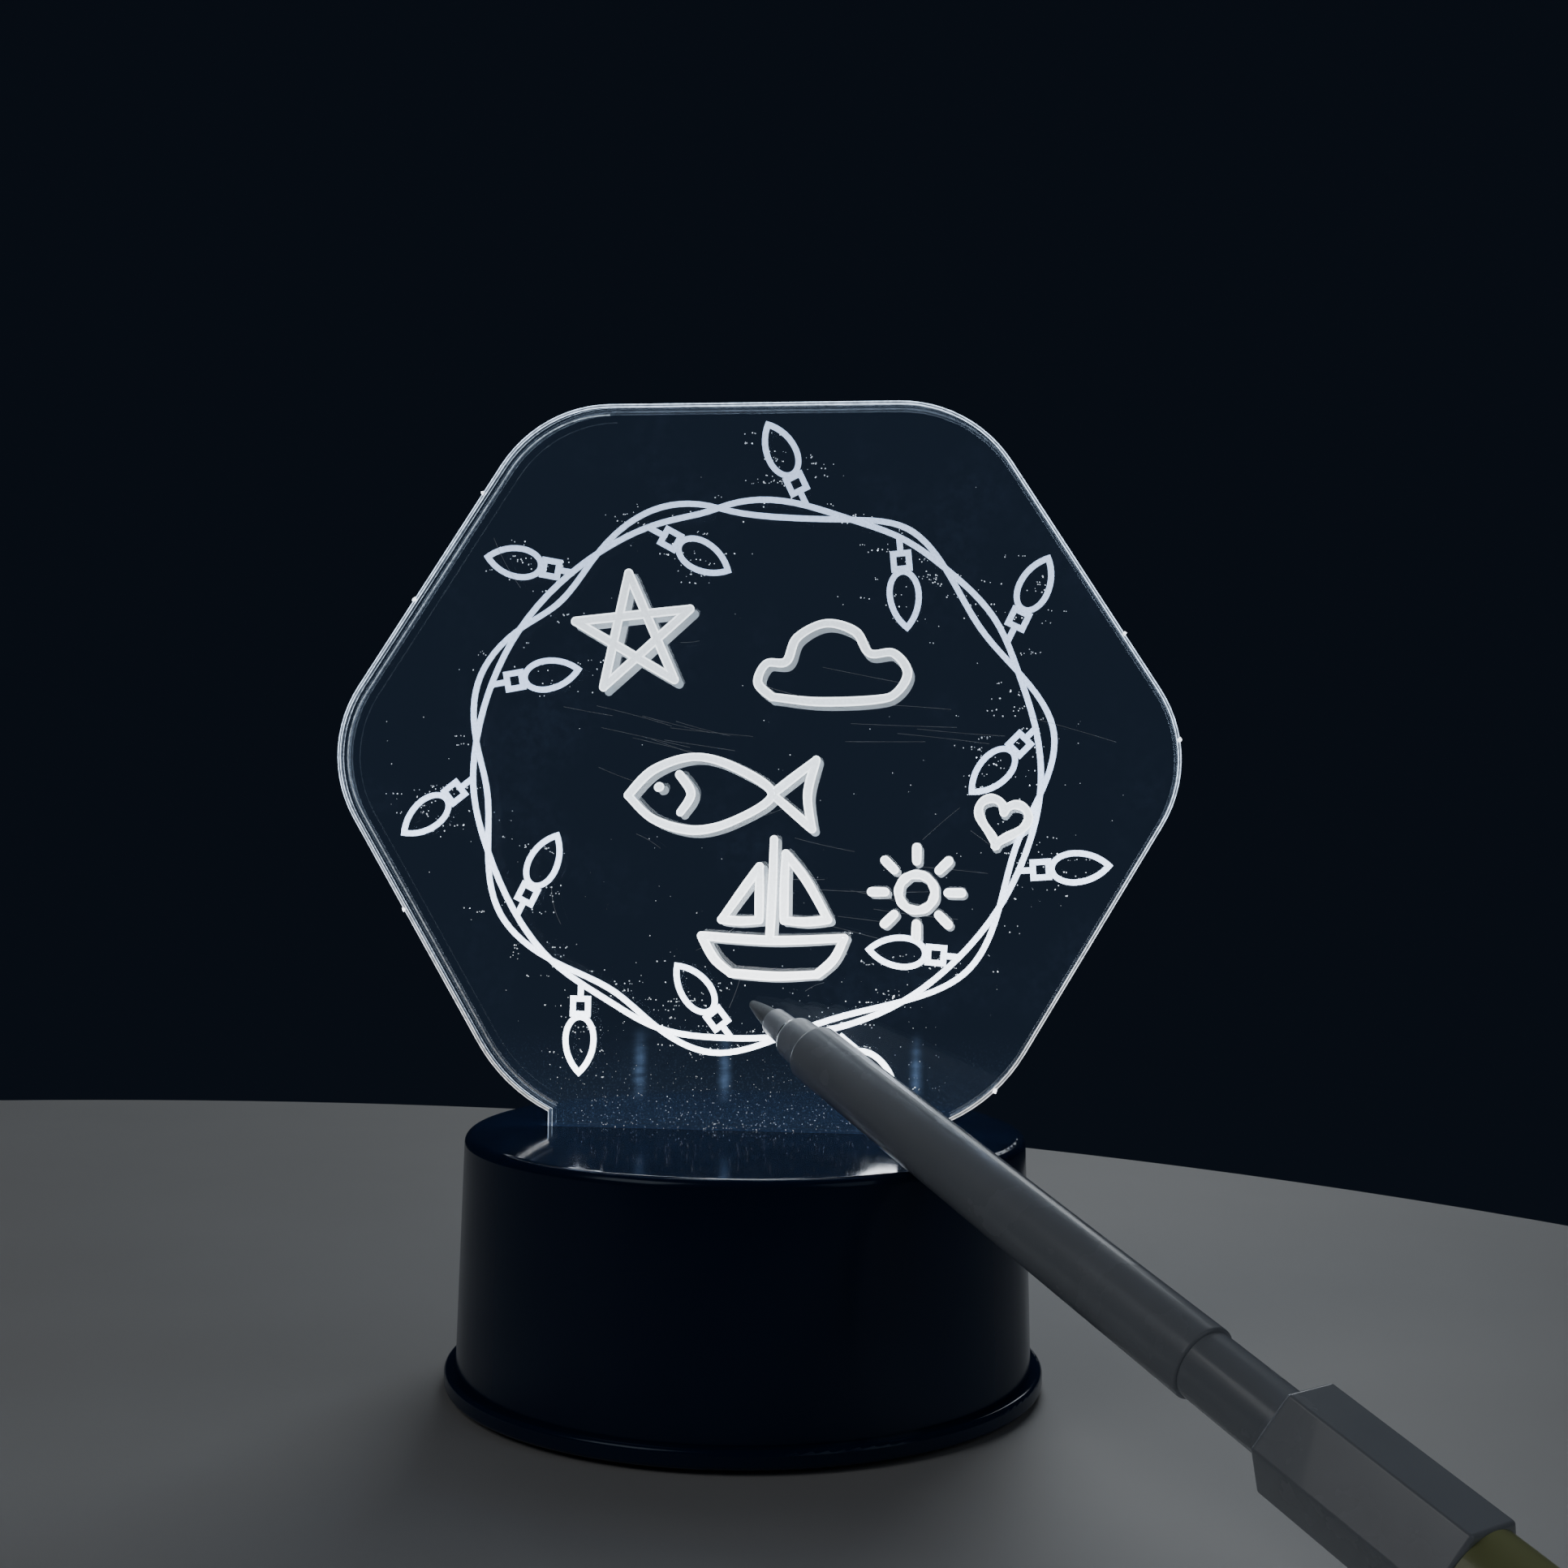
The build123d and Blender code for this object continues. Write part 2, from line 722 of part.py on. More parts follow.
def bend_radii(points):
    """The radius at each inner corner: as large as its two runs allow."""
    radii = []
    for before, corner, after in zip(points, points[1:], points[2:]):
        arriving = Vector(*corner) - Vector(*before)
        leaving = Vector(*after) - Vector(*corner)
        half_turn = math.radians(arriving.get_angle(leaving)) / 2
        radii.append(bend_share * min(arriving.length, leaving.length) / math.tan(half_turn))
    return radii


def lay_wire(points):
    """Sweep one wire along its route, inside a part."""
    radii = bend_radii(points)
    with BuildLine() as route:
        FilletPolyline(*points, radius=radii)
    heading = Vector(*points[1]) - Vector(*points[0])
    with BuildSketch(Plane(origin=points[0], z_dir=heading)) as section:
        Circle(wire_radius)
    sweep(section.sketch, path=route.wires()[0])
    return radii, route.wires()[0].length


# Wires, each route a list of points chosen by hand between its two solder joints
led_wire_route = [
    (7.4, led_board_top),
    (7.4, 26.4),
    (11.5, 30.2),
    (18.5, 31.2),
    (25.0, 28.8),
    (29.8, 25.0),
    (control_front_y, 25.0),
]
with BuildPart() as led_wires:
    led_wire_facts = [
        lay_wire([(x, y, z) for y, z in led_wire_route]) for x in (-led_wire_spread, led_wire_spread)
    ]
finish(led_wires.part, "led_wires")

rear_tab_y = bay_half_y - tab_fold / 2
front_tab_y = contact_thickness - bay_half_y
rear_wire_route = [
    (-terminal_x, rear_tab_y, bay_top + contact_thickness),
    (-terminal_x, rear_tab_y, 22.9),
    (-terminal_x, 31.0, 25.4),
    (-terminal_x, control_front_y, 25.4),
]
front_wire_route = [
    (terminal_x, front_tab_y, 19.9),
    (terminal_x, -21.0, 19.9),
    (15.9, -12.0, 19.9),
    (15.5, -2.0, 19.9),
    (14.2, 8.0, 19.9),
    (13.9, 17.5, 20.2),
    (14.6, 24.5, 22.6),
    (14.8, 30.0, 25.2),
    (14.8, control_front_y, 25.2),
]
with BuildPart() as battery_wires:
    battery_wire_facts = [lay_wire(rear_wire_route), lay_wire(front_wire_route)]
finish(battery_wires.part, "battery_wires")

for name, part, facts in (
    ("led_wires", led_wires.part, led_wire_facts),
    ("battery_wires", battery_wires.part, battery_wire_facts),
):
    expected = sum(length for radii, length in facts) * math.pi * wire_radius**2
    print(name, "bend radii", [[round(r, 1) for r in radii] for radii, length in facts])
    print(name, "volume", round(part.volume, 3), "section times length", round(expected, 3))

# Acrylic panel, cut from sheet, its neck standing on the channel's ledges
panel_low = base_height - panel_bottom_drop
panel_side_z = panel_low + panel_lower_rise
panel_top_z = panel_side_z + panel_upper_rise
loop_z = panel_side_z - loop_drop
panel_plane = Plane(origin=(panel_side_play, panel_thickness / 2, 0), x_dir=(1, 0, 0), z_dir=(0, -1, 0))
back_plane = Plane(origin=(loop_x, panel_thickness / 2, loop_z), x_dir=(1, 0, 0), z_dir=(0, -1, 0))


def strand_points(column, shift):
    """Points of one edge of a strand, offset from its middle."""
    rows = [(math.radians(row[0]), row[column] * loop_radius + shift) for row in strand_shares]
    return [(r * math.cos(a), r * math.sin(a)) for a, r in rows]


def strand_ring(column):
    """One strand as a closed ring, one line wide."""
    with BuildSketch() as ring:
        with BuildLine():
            Spline(*strand_points(column, line_width / 2), periodic=True)
        make_face()
        with BuildLine():
            Spline(*strand_points(column, -line_width / 2), periodic=True)
        make_face(mode=Mode.SUBTRACT)
    return ring.sketch


def bulb_outline():
    """A bulb with its socket and stem, drawn one line wide from the stem's root along +Y."""
    half = bulb_width / 2
    arc_radius = ((bulb_length - bulb_belly) ** 2 + half**2) / (2 * half)
    belly_y = stem_length + socket_side - line_width / 2 + bulb_belly
    with BuildSketch() as bulb:
        for inset, mode in ((0, Mode.ADD), (line_width, Mode.SUBTRACT)):
            tip_y = belly_y + math.sqrt((arc_radius - inset) ** 2 - (arc_radius - half) ** 2)
            side = half - inset
            with BuildLine():
                EllipticalCenterArc((0, belly_y), side, bulb_belly - inset, start_angle=180, arc_size=180)
                TangentArc((side, belly_y), (0, tip_y), tangent=(0, 1))
                TangentArc((-side, belly_y), (0, tip_y), tangent=(0, 1))
            make_face(mode=mode)
        with Locations((0, stem_length + socket_side / 2)):
            Rectangle(socket_side, socket_side)
            Rectangle(socket_side - 2 * line_width, socket_side - 2 * line_width, mode=Mode.SUBTRACT)
        with Locations((0, stem_length / 2)):
            Rectangle(line_width, stem_length)
    return bulb.sketch


with BuildPart() as acrylic_panel:
    with BuildSketch(panel_plane) as outline:
        with BuildLine():
            Polyline(
                (panel_bottom_half, panel_low),
                (panel_half_width, panel_side_z),
                (panel_top_half, panel_top_z),
                (-panel_top_half, panel_top_z),
                (-panel_half_width, panel_side_z),
                (-panel_bottom_half, panel_low),
                close=True,
            )
        make_face()
        fillet(outline.vertices().group_by(Axis.Y)[-1], radius=top_corner_radius)
        fillet(outline.vertices().sort_by(Axis.X)[0], radius=side_corner_radius)
        fillet(outline.vertices().sort_by(Axis.X)[-1], radius=side_corner_radius)
        fillet(outline.vertices().group_by(Axis.Y)[0], radius=bottom_corner_radius)
        with Locations((0, (neck_bottom + base_height + neck_overlap) / 2)):
            Rectangle(2 * neck_half_width, base_height + neck_overlap - neck_bottom)
    extrude(amount=panel_thickness)
    with BuildSketch(back_plane):
        add(strand_ring(1))
        add(strand_ring(2))
        for angle, root_share, lean in bulb_shares:
            root = root_share * loop_radius
            turn = math.radians(angle)
            with Locations(Location((root * math.cos(turn), root * math.sin(turn)), angle + lean - 90)):
                add(bulb_outline())
    extrude(amount=groove_depth, mode=Mode.SUBTRACT)
finish(acrylic_panel.part, "acrylic_panel")

# Stations along the pen, from the centre of the nib's rounded tip
holder_start = nib_out
collar_start = holder_start + holder_out
section_start = collar_start + collar_width
barrel_start = section_start + section_out
barrel_end = barrel_start + barrel_length
tail_start = barrel_end - tail_length
plug_end = barrel_end + plug_flange
cap_start = plug_end - cap_overlap
cap_back = cap_start + cap_length
spigot_start = cap_back - spigot_length
cap_end = cap_back + cap_end_length
seal_start = cap_end - cap_floor - seal_length
cap_bore_radius = tail_radius + running_gap

# The pen's slope: its nib at the panel, its barrel on the base's rim and its cap's end on the table
heading = math.radians(pen_heading)
level_way = Vector(math.sin(heading), -math.cos(heading), 0)
tip_y = -(panel_thickness / 2 + nib_gap + nib_tip_radius)
rim_circle = base_top_radius - rim_rounding
along = pen_tip_x * level_way.X + tip_y * level_way.Y
rim_run = math.sqrt(along**2 + rim_circle**2 - pen_tip_x**2 - tip_y**2) - along
barrel_growth = (barrel_back_radius - barrel_front_radius) / (tail_start - barrel_start)
rim_clear = barrel_front_radius + barrel_growth * (rim_run - barrel_start) + rim_rounding + loose_gap
rest_length = cap_end - cap_end_rounding
rest_radius = cap_end_radius - cap_end_rounding
slope = 0
for step in range(slope_steps):
    rise = rim_run * math.tan(slope) + rim_clear / math.cos(slope) - rest_radius * math.cos(slope)
    slope = math.asin((base_height - rim_rounding + rise - cap_end_rounding) / rest_length)
tip_z = base_height - rim_rounding + rim_run * math.tan(slope) + rim_clear / math.cos(slope)
pen_tip = Vector(pen_tip_x, tip_y, tip_z)
pen_way = level_way * math.cos(slope) - Vector(0, 0, math.sin(slope))
pen_up = level_way * math.sin(slope) + Vector(0, 0, math.cos(slope))
pen_axis = Axis(pen_tip, pen_way)
pen_side_plane = Plane(origin=pen_tip, x_dir=pen_way, z_dir=pen_way.cross(pen_up))
print("pen slope", round(math.degrees(slope), 3), "tip", pen_tip, "way", pen_way, "up", pen_up)


def pen_station(distance):
    """A plane across the pen, with its own Y pointing up."""
    return Plane(origin=pen_tip + pen_way * distance, x_dir=pen_up.cross(pen_way), z_dir=pen_way)


# Nib: a bullet with a stem that runs back into the reservoir
with BuildPart() as pen_nib:
    with BuildSketch(pen_side_plane):
        with BuildLine():
            CenterArc((0, 0), nib_tip_radius, start_angle=90, arc_size=90)
            Spline(
                (0, nib_tip_radius),
                (nib_out * nib_belly_share, nib_radius * nib_belly_radius_share),
                (nib_out, nib_radius),
            )
            Polyline(
                (nib_out, nib_radius),
                (nib_out, nib_stem_radius),
                (nib_stem_end, nib_stem_radius),
                (nib_stem_end, 0),
                (-nib_tip_radius, 0),
            )
        make_face()
    revolve(axis=pen_axis)
finish(pen_nib.part, "pen_nib")

# Nib holder, with its stem inside the front section
with BuildPart() as pen_nib_holder:
    with BuildSketch(pen_side_plane):
        with BuildLine():
            Polyline(
                (holder_start, nib_stem_radius + fit_gap),
                (holder_start, holder_front_radius),
                (collar_start, holder_back_radius),
                (collar_start, holder_stem_radius),
                (holder_stem_end, holder_stem_radius),
                (holder_stem_end, nib_stem_radius + fit_gap),
                close=True,
            )
        make_face()
    revolve(axis=pen_axis)
    holder_rim = pen_nib_holder.edges().filter_by(GeomType.CIRCLE).group_by(SortBy.RADIUS)[-2]
    fillet(holder_rim, radius=holder_rounding)
finish(pen_nib_holder.part, "pen_nib_holder")

with BuildPart() as pen_collar:
    with BuildSketch(pen_station(collar_start)):
        Circle(collar_radius)
        Circle(holder_stem_radius + fit_gap, mode=Mode.SUBTRACT)
    extrude(amount=collar_width)
finish(pen_collar.part, "pen_collar")

# Front section: the white cone in front of the barrel, its shank inside the barrel
with BuildPart() as pen_front_section:
    with BuildSketch(pen_side_plane):
        with BuildLine():
            Polyline(
                (section_start, holder_stem_radius + fit_gap),
                (section_start, section_front_radius),
                (barrel_start, section_back_radius),
                (barrel_start, section_shank_radius),
                (barrel_start + section_shank_length, section_shank_radius),
                (barrel_start + section_shank_length, holder_stem_radius + fit_gap),
                close=True,
            )
        make_face()
    revolve(axis=pen_axis)
    section_rim = pen_front_section.edges().filter_by(GeomType.CIRCLE).group_by(SortBy.RADIUS)[-2]
    fillet(section_rim, radius=section_rounding)
finish(pen_front_section.part, "pen_front_section")

# Barrel: a tube that widens towards the back, with a narrower tail for the cap
with BuildPart() as pen_barrel:
    with BuildSketch(pen_side_plane):
        with BuildLine():
            Polyline(
                (barrel_start, 0),
                (barrel_start, barrel_front_radius),
                (tail_start, barrel_back_radius),
                (tail_start, 0),
                close=True,
            )
        make_face()
    revolve(axis=pen_axis)
    fillet(pen_barrel.edges().filter_by(GeomType.CIRCLE), radius=barrel_rounding)
    with BuildSketch(pen_station(tail_start)):
        Circle(tail_radius)
    extrude(amount=tail_length)
    with BuildSketch(pen_station(barrel_start)):
        Circle(barrel_bore_radius)
    extrude(amount=barrel_length, mode=Mode.SUBTRACT)
finish(pen_barrel.part, "pen_barrel")

# Ink reservoir, a felt rod that the nib's stem enters
reservoir_start = barrel_start + section_shank_length + seat_gap
reservoir_end = barrel_end - plug_length - reservoir_gap
with BuildPart() as pen_reservoir:
    with BuildSketch(pen_station(reservoir_start)):
        Circle(reservoir_radius)
    extrude(amount=reservoir_end - reservoir_start)
    with BuildSketch(pen_station(reservoir_start)):
        Circle(nib_stem_radius + fit_gap)
    extrude(amount=nib_stem_end + seat_gap - reservoir_start, mode=Mode.SUBTRACT)
finish(pen_reservoir.part, "pen_reservoir")

with BuildPart() as pen_end_plug:
    with BuildSketch(pen_station(barrel_end - plug_length)):
        Circle(barrel_bore_radius - fit_gap)
    extrude(amount=plug_length)
    with BuildSketch(pen_station(barrel_end)):
        Circle(tail_radius)
    extrude(amount=plug_flange)
finish(pen_end_plug.part, "pen_end_plug")

# Cap: a sleeve with six flats, pushed on to the tail, and the coloured cup that closes it
with BuildPart() as pen_cap:
    with BuildSketch(pen_station(cap_start)):
        RegularPolygon(radius=cap_half_width, side_count=6, major_radius=False)
    extrude(amount=cap_length)
    fillet(pen_cap.edges(), radius=cap_rounding)
    with BuildSketch(pen_station(cap_start)):
        Circle(cap_bore_radius)
    extrude(amount=cap_length, mode=Mode.SUBTRACT)
    with BuildSketch(pen_station(spigot_start)):
        Circle(spigot_radius)
    extrude(amount=spigot_length, mode=Mode.SUBTRACT)
finish(pen_cap.part, "pen_cap")

with BuildPart() as pen_cap_end:
    with BuildSketch(pen_station(cap_back)):
        Circle(cap_end_radius)
    extrude(amount=cap_end_length)
    end_rim = pen_cap_end.edges().filter_by(GeomType.CIRCLE).sort_by(pen_axis)[-1]
    fillet(end_rim, radius=cap_end_rounding)
    with BuildSketch(pen_station(spigot_start)):
        Circle(spigot_radius - fit_gap)
    extrude(amount=spigot_length)
    with BuildSketch(pen_station(spigot_start)):
        Circle(cap_bore_radius)
    extrude(amount=cap_end - cap_floor - spigot_start, mode=Mode.SUBTRACT)
finish(pen_cap_end.part, "pen_cap_end")

with BuildPart() as pen_cap_seal:
    with BuildSketch(pen_station(seal_start)):
        Circle(cap_bore_radius - fit_gap)
        Circle(section_back_radius + running_gap, mode=Mode.SUBTRACT)
    extrude(amount=seal_length)
finish(pen_cap_seal.part, "pen_cap_seal")
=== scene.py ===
import math
import random

import bpy
from mathutils import Matrix, Vector


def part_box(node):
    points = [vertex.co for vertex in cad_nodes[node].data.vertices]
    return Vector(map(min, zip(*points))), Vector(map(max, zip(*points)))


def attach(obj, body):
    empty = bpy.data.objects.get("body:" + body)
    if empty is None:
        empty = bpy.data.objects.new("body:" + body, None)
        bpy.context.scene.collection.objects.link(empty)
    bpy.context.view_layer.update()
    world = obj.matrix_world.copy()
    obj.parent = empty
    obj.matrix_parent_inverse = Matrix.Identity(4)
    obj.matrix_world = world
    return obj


# An edge-lit acrylic writing board on its battery base. Metres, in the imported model's frame.

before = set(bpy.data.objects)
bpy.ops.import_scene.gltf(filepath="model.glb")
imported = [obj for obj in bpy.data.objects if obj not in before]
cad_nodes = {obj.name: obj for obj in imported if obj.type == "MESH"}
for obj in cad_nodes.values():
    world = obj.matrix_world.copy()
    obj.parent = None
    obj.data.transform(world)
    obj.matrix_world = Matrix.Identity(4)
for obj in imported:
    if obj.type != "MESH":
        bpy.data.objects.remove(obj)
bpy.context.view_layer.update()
MM = 0.001
SEED = 7

# Camera, solved from the photo's circles and straight edges
PHOTO_SIDE = 1932
FOCAL_PIXELS = 2400
SENSOR = 36.0
CAMERA_PLACE = Vector((39.94, -328.5, 95.7)) * MM
CAMERA_YAW = math.radians(-5.91)
CAMERA_PITCH = math.radians(0.81)
CAMERA_ROLL = math.radians(0.53)
CAMERA_CLIP_START = 10 * MM

# Table: its far side is round, its near side drawn in
TABLE_CENTRE = Vector((-165, -205, 0)) * MM
TABLE_RADIUS = 495 * MM
TABLE_NEAR_SHARE = 0.1
TABLE_THICKNESS = 24 * MM
TABLE_EDGE = 4 * MM
TABLE_EDGE_STEPS = 4
TABLE_SIDES = 192
TABLE_PATCHES = 60 * MM
TABLE_GRAIN = 1.2 * MM
TABLE_GRAIN_DEPTH = 0.02 * MM

# Room, and its lamps: name, place, target, side length, watts and colour
ROOM_COLOUR = (0.004, 0.006, 0.0105, 1)
LAMPS = (
    ("key", (-0.55, -0.55, 0.75), (0, 0, 0.06), 0.5, 0.74, (1, 1, 1)),
    ("fill", (0.75, -0.45, 0.5), (0, 0, 0.05), 0.6, 0.3, (0.92, 0.96, 1.0)),
    ("back", (0.1, 0.75, 0.6), (0, 0, 0.08), 0.5, 1.5, (0.9, 0.95, 1.0)),
)

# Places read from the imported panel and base
panel_low, panel_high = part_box("acrylic_panel")
shell_low, shell_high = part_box("base_shell")
FRONT_FACE = panel_low.y
BACK_FACE = panel_high.y
PANEL_FOOT = shell_high.z
PANEL_TOP = panel_high.z

# The panel's outline before its corners are rounded, and the floor of its grooves
PANEL_MIDDLE = 105.4 * MM
PANEL_HALF_WIDTH = 75.4 * MM
PANEL_SLANT = 0.65
PANEL_MARGIN = 6 * MM
GROOVE_DEPTH = 0.4 * MM
GROOVE_FLOOR = BACK_FACE - GROOVE_DEPTH

# Step between surfaces that would else coincide
HAIR = 0.02 * MM

# Moulded plastic: size of its worn patches, its patches of tone and its skin, and the skin's depth
WEAR_PATCHES = 9 * MM
TONE_PATCHES = 14 * MM
SKIN_GRAIN = 0.35 * MM
SKIN_DEPTH = 0.004 * MM
RUBBER_GRAIN = 0.2 * MM
RUBBER_DEPTH = 0.02 * MM
BASE_SKIN_DEPTH = 0.0012 * MM
SCATTER_RADIUS = 1 * MM

# Metal, felt, boards and cells
METAL_GRAIN = 0.25 * MM
METAL_DEPTH = 0.002 * MM
NIB_FIBRE = 0.25 * MM
RESERVOIR_FIBRE = 0.4 * MM
FIBRE_DEPTH = 0.03 * MM
TRACKS_PER_METRE = 180.0
TRACK_HEIGHT = 0.02 * MM
CELL_END_START = 12 * MM
CELL_END_FULL = 12.2 * MM
SLEEVE_GRAIN = 2 * MM
SLEEVE_DEPTH = 0.01 * MM
LENS_GRAIN = 0.8 * MM

# Light in the panel's cut edge: where its bright lips start and are full, and the size of its marks
FRONT_LIP = (-1.6 * MM, -2.2 * MM)
BACK_LIP = (2.0 * MM, 2.4 * MM)
SAW_MARKS = 0.5 * MM
SHEEN_MARKS = 0.9 * MM
EDGE_DRIFT = 13 * MM

# Painted light on the panel's faces: glowing haze, glowing dust near its foot, and the LEDs' upright painted
# images there
SMEAR_SIZE = 26 * MM
HAZE_GRAIN = 1.6 * MM
DUST_GRAIN = 0.35 * MM
DUST_TOP = 60 * MM
STREAK_PLACES = (-18.2 * MM, -3.6 * MM, 28.7 * MM)
STREAK_HALF_WIDTH = 1.5 * MM
STREAK_LOW = 46 * MM
STREAK_RISE = 4 * MM
STREAK_HIGH = 59 * MM
STREAK_FALL = 6 * MM
STREAK_RIPPLE = 1.0 * MM

# Marks that the panel's light fills: how fast it falls off upward, and their grain
LIGHT_FALL = 2.2
WARM_RISE = 60 * MM
MARK_DEPTH = 0.02 * MM
GROOVE_GRAIN = 0.25 * MM
RIM_GRAIN = 0.7 * MM
IMAGE_GRAIN = 0.6 * MM
NICK_GRAIN = 0.6 * MM
INK_GRAIN = 0.5 * MM
SPECK_GRAIN = 1.0 * MM
HAIRLINE_GRAIN = 2 * MM

# Bright lines of painted light in the rim, measured inward from the outline; the painted image fades out to
# the right
RIM_LINE = 0.16 * MM
RIM_INNER_START = 0.4 * MM
IMAGE_START = 1.75 * MM
IMAGE_LINE = 0.2 * MM
IMAGE_END = 24 * MM
IMAGE_FADE = 30 * MM

# Nicks in the rim, across and up in millimetres
NICK_PLACES = ((-56.6, 130.6), (-49.5, 152.0), (62.6, 125.7), (71.3, 108.0), (-58.8, 78.6), (41.4, 50.2))
NICK_CORNERS = 5
NICK_TURN = 0.3
NICK_SIZES = (0.25, 0.55)

# Specks thrown beside the engraving, row by row and mostly to the left, and dust. Ranges of sizes
# and offsets are in millimetres
SPECK_STARTS = 230
SPECK_SIDES = (-1, -1, 1)
SPECK_ROWS = (1, 3)
SPECKS_PER_ROW = (1, 5)
SPECK_OFFSETS = (0.8, 3.0)
SPECK_ROW_SPREAD = 0.9 * MM
SPECK_STEP = 0.8 * MM
SPECK_SPREAD = 0.12 * MM
SPECK_SIZES = (0.06, 0.14)
DUST_COUNT = 260
DUST_SPREAD_SHARE = 0.45
DUST_SIZES = (0.03, 0.09)
FOOT_DUST_COUNT = 650
FOOT_DUST_REACH = 34 * MM
FOOT_DUST_RISE = 6 * MM
FOOT_DUST_SIZES = (0.02, 0.06)

# Fine scratches in millimetres and radians: single hairlines, then fans of rubbed lines, each a centre
# and a spread
HAIRLINE_COUNT = 11
HAIRLINE_ACROSS = (-42, 42)
HAIRLINE_UP = (50, 150)
HAIRLINE_BENDS = (-0.5, 0.5)
HAIRLINE_LENGTHS = (3, 11)
FANS = (((-18.0, 110.0), 9.0), ((22.0, 112.0), 12.0), ((16.0, 84.0), 8.0))
FAN_COUNT = 9
FAN_HEIGHT = 5.0
FAN_HEADING = -0.15
FAN_HEADING_SPREAD = 0.12
FAN_BENDS = (-0.1, 0.1)
FAN_LENGTHS = (6, 18)
SCRATCH_STEPS = 4
SCRATCH_WIDTH = 0.06 * MM
SCRATCH_HEIGHT = 0.01 * MM

# Ink: its pale rim, its core, and its dim painted reflection in the back face, a little below and to the
# right.
# A stroke's section is given as shares of its half width and its height, its round ends in degrees
INK_RIM_WIDTH = 1.6 * MM
INK_WIDTH = 1.1 * MM
INK_HEIGHT = 0.03 * MM
INK_REFLECTION_SHIFT = (0.3, -0.55)
STROKE_SHARES = ((-1.0, 0.0), (-0.85, 1.0), (0.85, 1.0), (1.0, 0.0))
CAP_TURNS = (80, 60, 40, 20)
WOBBLE_SHARE = 0.07
WOBBLE_TURN = 0.23
CURVE_STEPS = 10

# Small drawings on the panel, across and up in millimetres
STAR_CENTRE = (-19.6, 125.6)
STAR_RADIUS = 10.4
STAR_TILT = 6
CLOUD = (
    (4.0, 115.0), (1.6, 117.4), (3.0, 120.6), (6.4, 121.0), (8.2, 125.0), (13.0, 127.4), (18.0, 126.0),
    (20.4, 122.4), (24.4, 122.4), (26.8, 119.2), (25.0, 115.8), (21.6, 114.6), (12.0, 114.2), (4.0, 115.0),
)
FISH_BODY = (
    (-20.4, 98.2), (-16.0, 102.6), (-9.0, 104.8), (-2.0, 103.0), (4.2, 98.6), (-2.0, 94.2), (-9.0, 92.4),
    (-16.0, 94.2), (-20.4, 98.2),
)
FISH_TAIL = (
    ((4.2, 98.6), (8.0, 101.6), (11.6, 104.4)),
    ((11.6, 104.4), (10.2, 98.6), (11.0, 92.8)),
    ((11.0, 92.8), (8.0, 95.4), (4.2, 98.6)),
)
FISH_GILL = ((-11.6, 101.8), (-9.6, 98.6), (-11.4, 95.4))
FISH_EYE = ((-15.2, 99.6), (-15.0, 99.7))
BOAT_HULL = (
    ((-7.6, 74.6), (4.6, 74.0), (16.6, 74.6)),
    ((-7.6, 74.6), (-5.4, 70.8), (-2.6, 68.4)),
    ((-2.6, 68.4), (5.0, 68.0), (12.0, 68.4)),
    ((12.0, 68.4), (14.8, 71.0), (16.6, 74.6)),
)
BOAT_MAST = ((4.0, 74.2), (4.4, 83.0), (4.6, 91.0))
BOAT_SAILS = (
    ((6.6, 88.6), (10.2, 84.0), (13.8, 77.6)),
    ((13.8, 77.6), (10.0, 77.2), (6.4, 77.4)),
    ((6.4, 77.4), (6.4, 83.0), (6.6, 88.6)),
    ((2.2, 86.4), (-0.8, 82.2), (-4.2, 77.4)),
    ((-4.2, 77.4), (-1.0, 77.2), (2.2, 77.4)),
    ((2.2, 77.4), (2.2, 82.0), (2.2, 86.4)),
)
SUN_CENTRE = (28.6, 82.4)
SUN_RADIUS = 3.0
SUN_RAYS = 8
SUN_RAY_SHARES = (1.75, 2.5)
SUN_STEPS = 24
HEART_CENTRE = (42.7, 94.6)
HEART_SIZE = 8.4
HEART_TILT = -14
HEART_STEPS = 24

random.seed(SEED)


def link(obj):
    bpy.context.scene.collection.objects.link(obj)
    return obj


def mesh_object(name, vertices, faces, material, smooth=False):
    """A mesh piece made from plain lists."""
    mesh = bpy.data.meshes.new(name)
    mesh.from_pydata(vertices, [], faces)
    mesh.materials.append(material)
    mesh.polygons.foreach_set("use_smooth", [smooth] * len(mesh.polygons))
    mesh.update()
    return link(bpy.data.objects.new(name, mesh))


def on_panel(name, vertices, faces, material, smooth=False):
    """A mesh piece that belongs to the panel and moves with it."""
    piece = mesh_object(name, vertices, faces, material, smooth)
    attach(piece, "panel")
    return piece


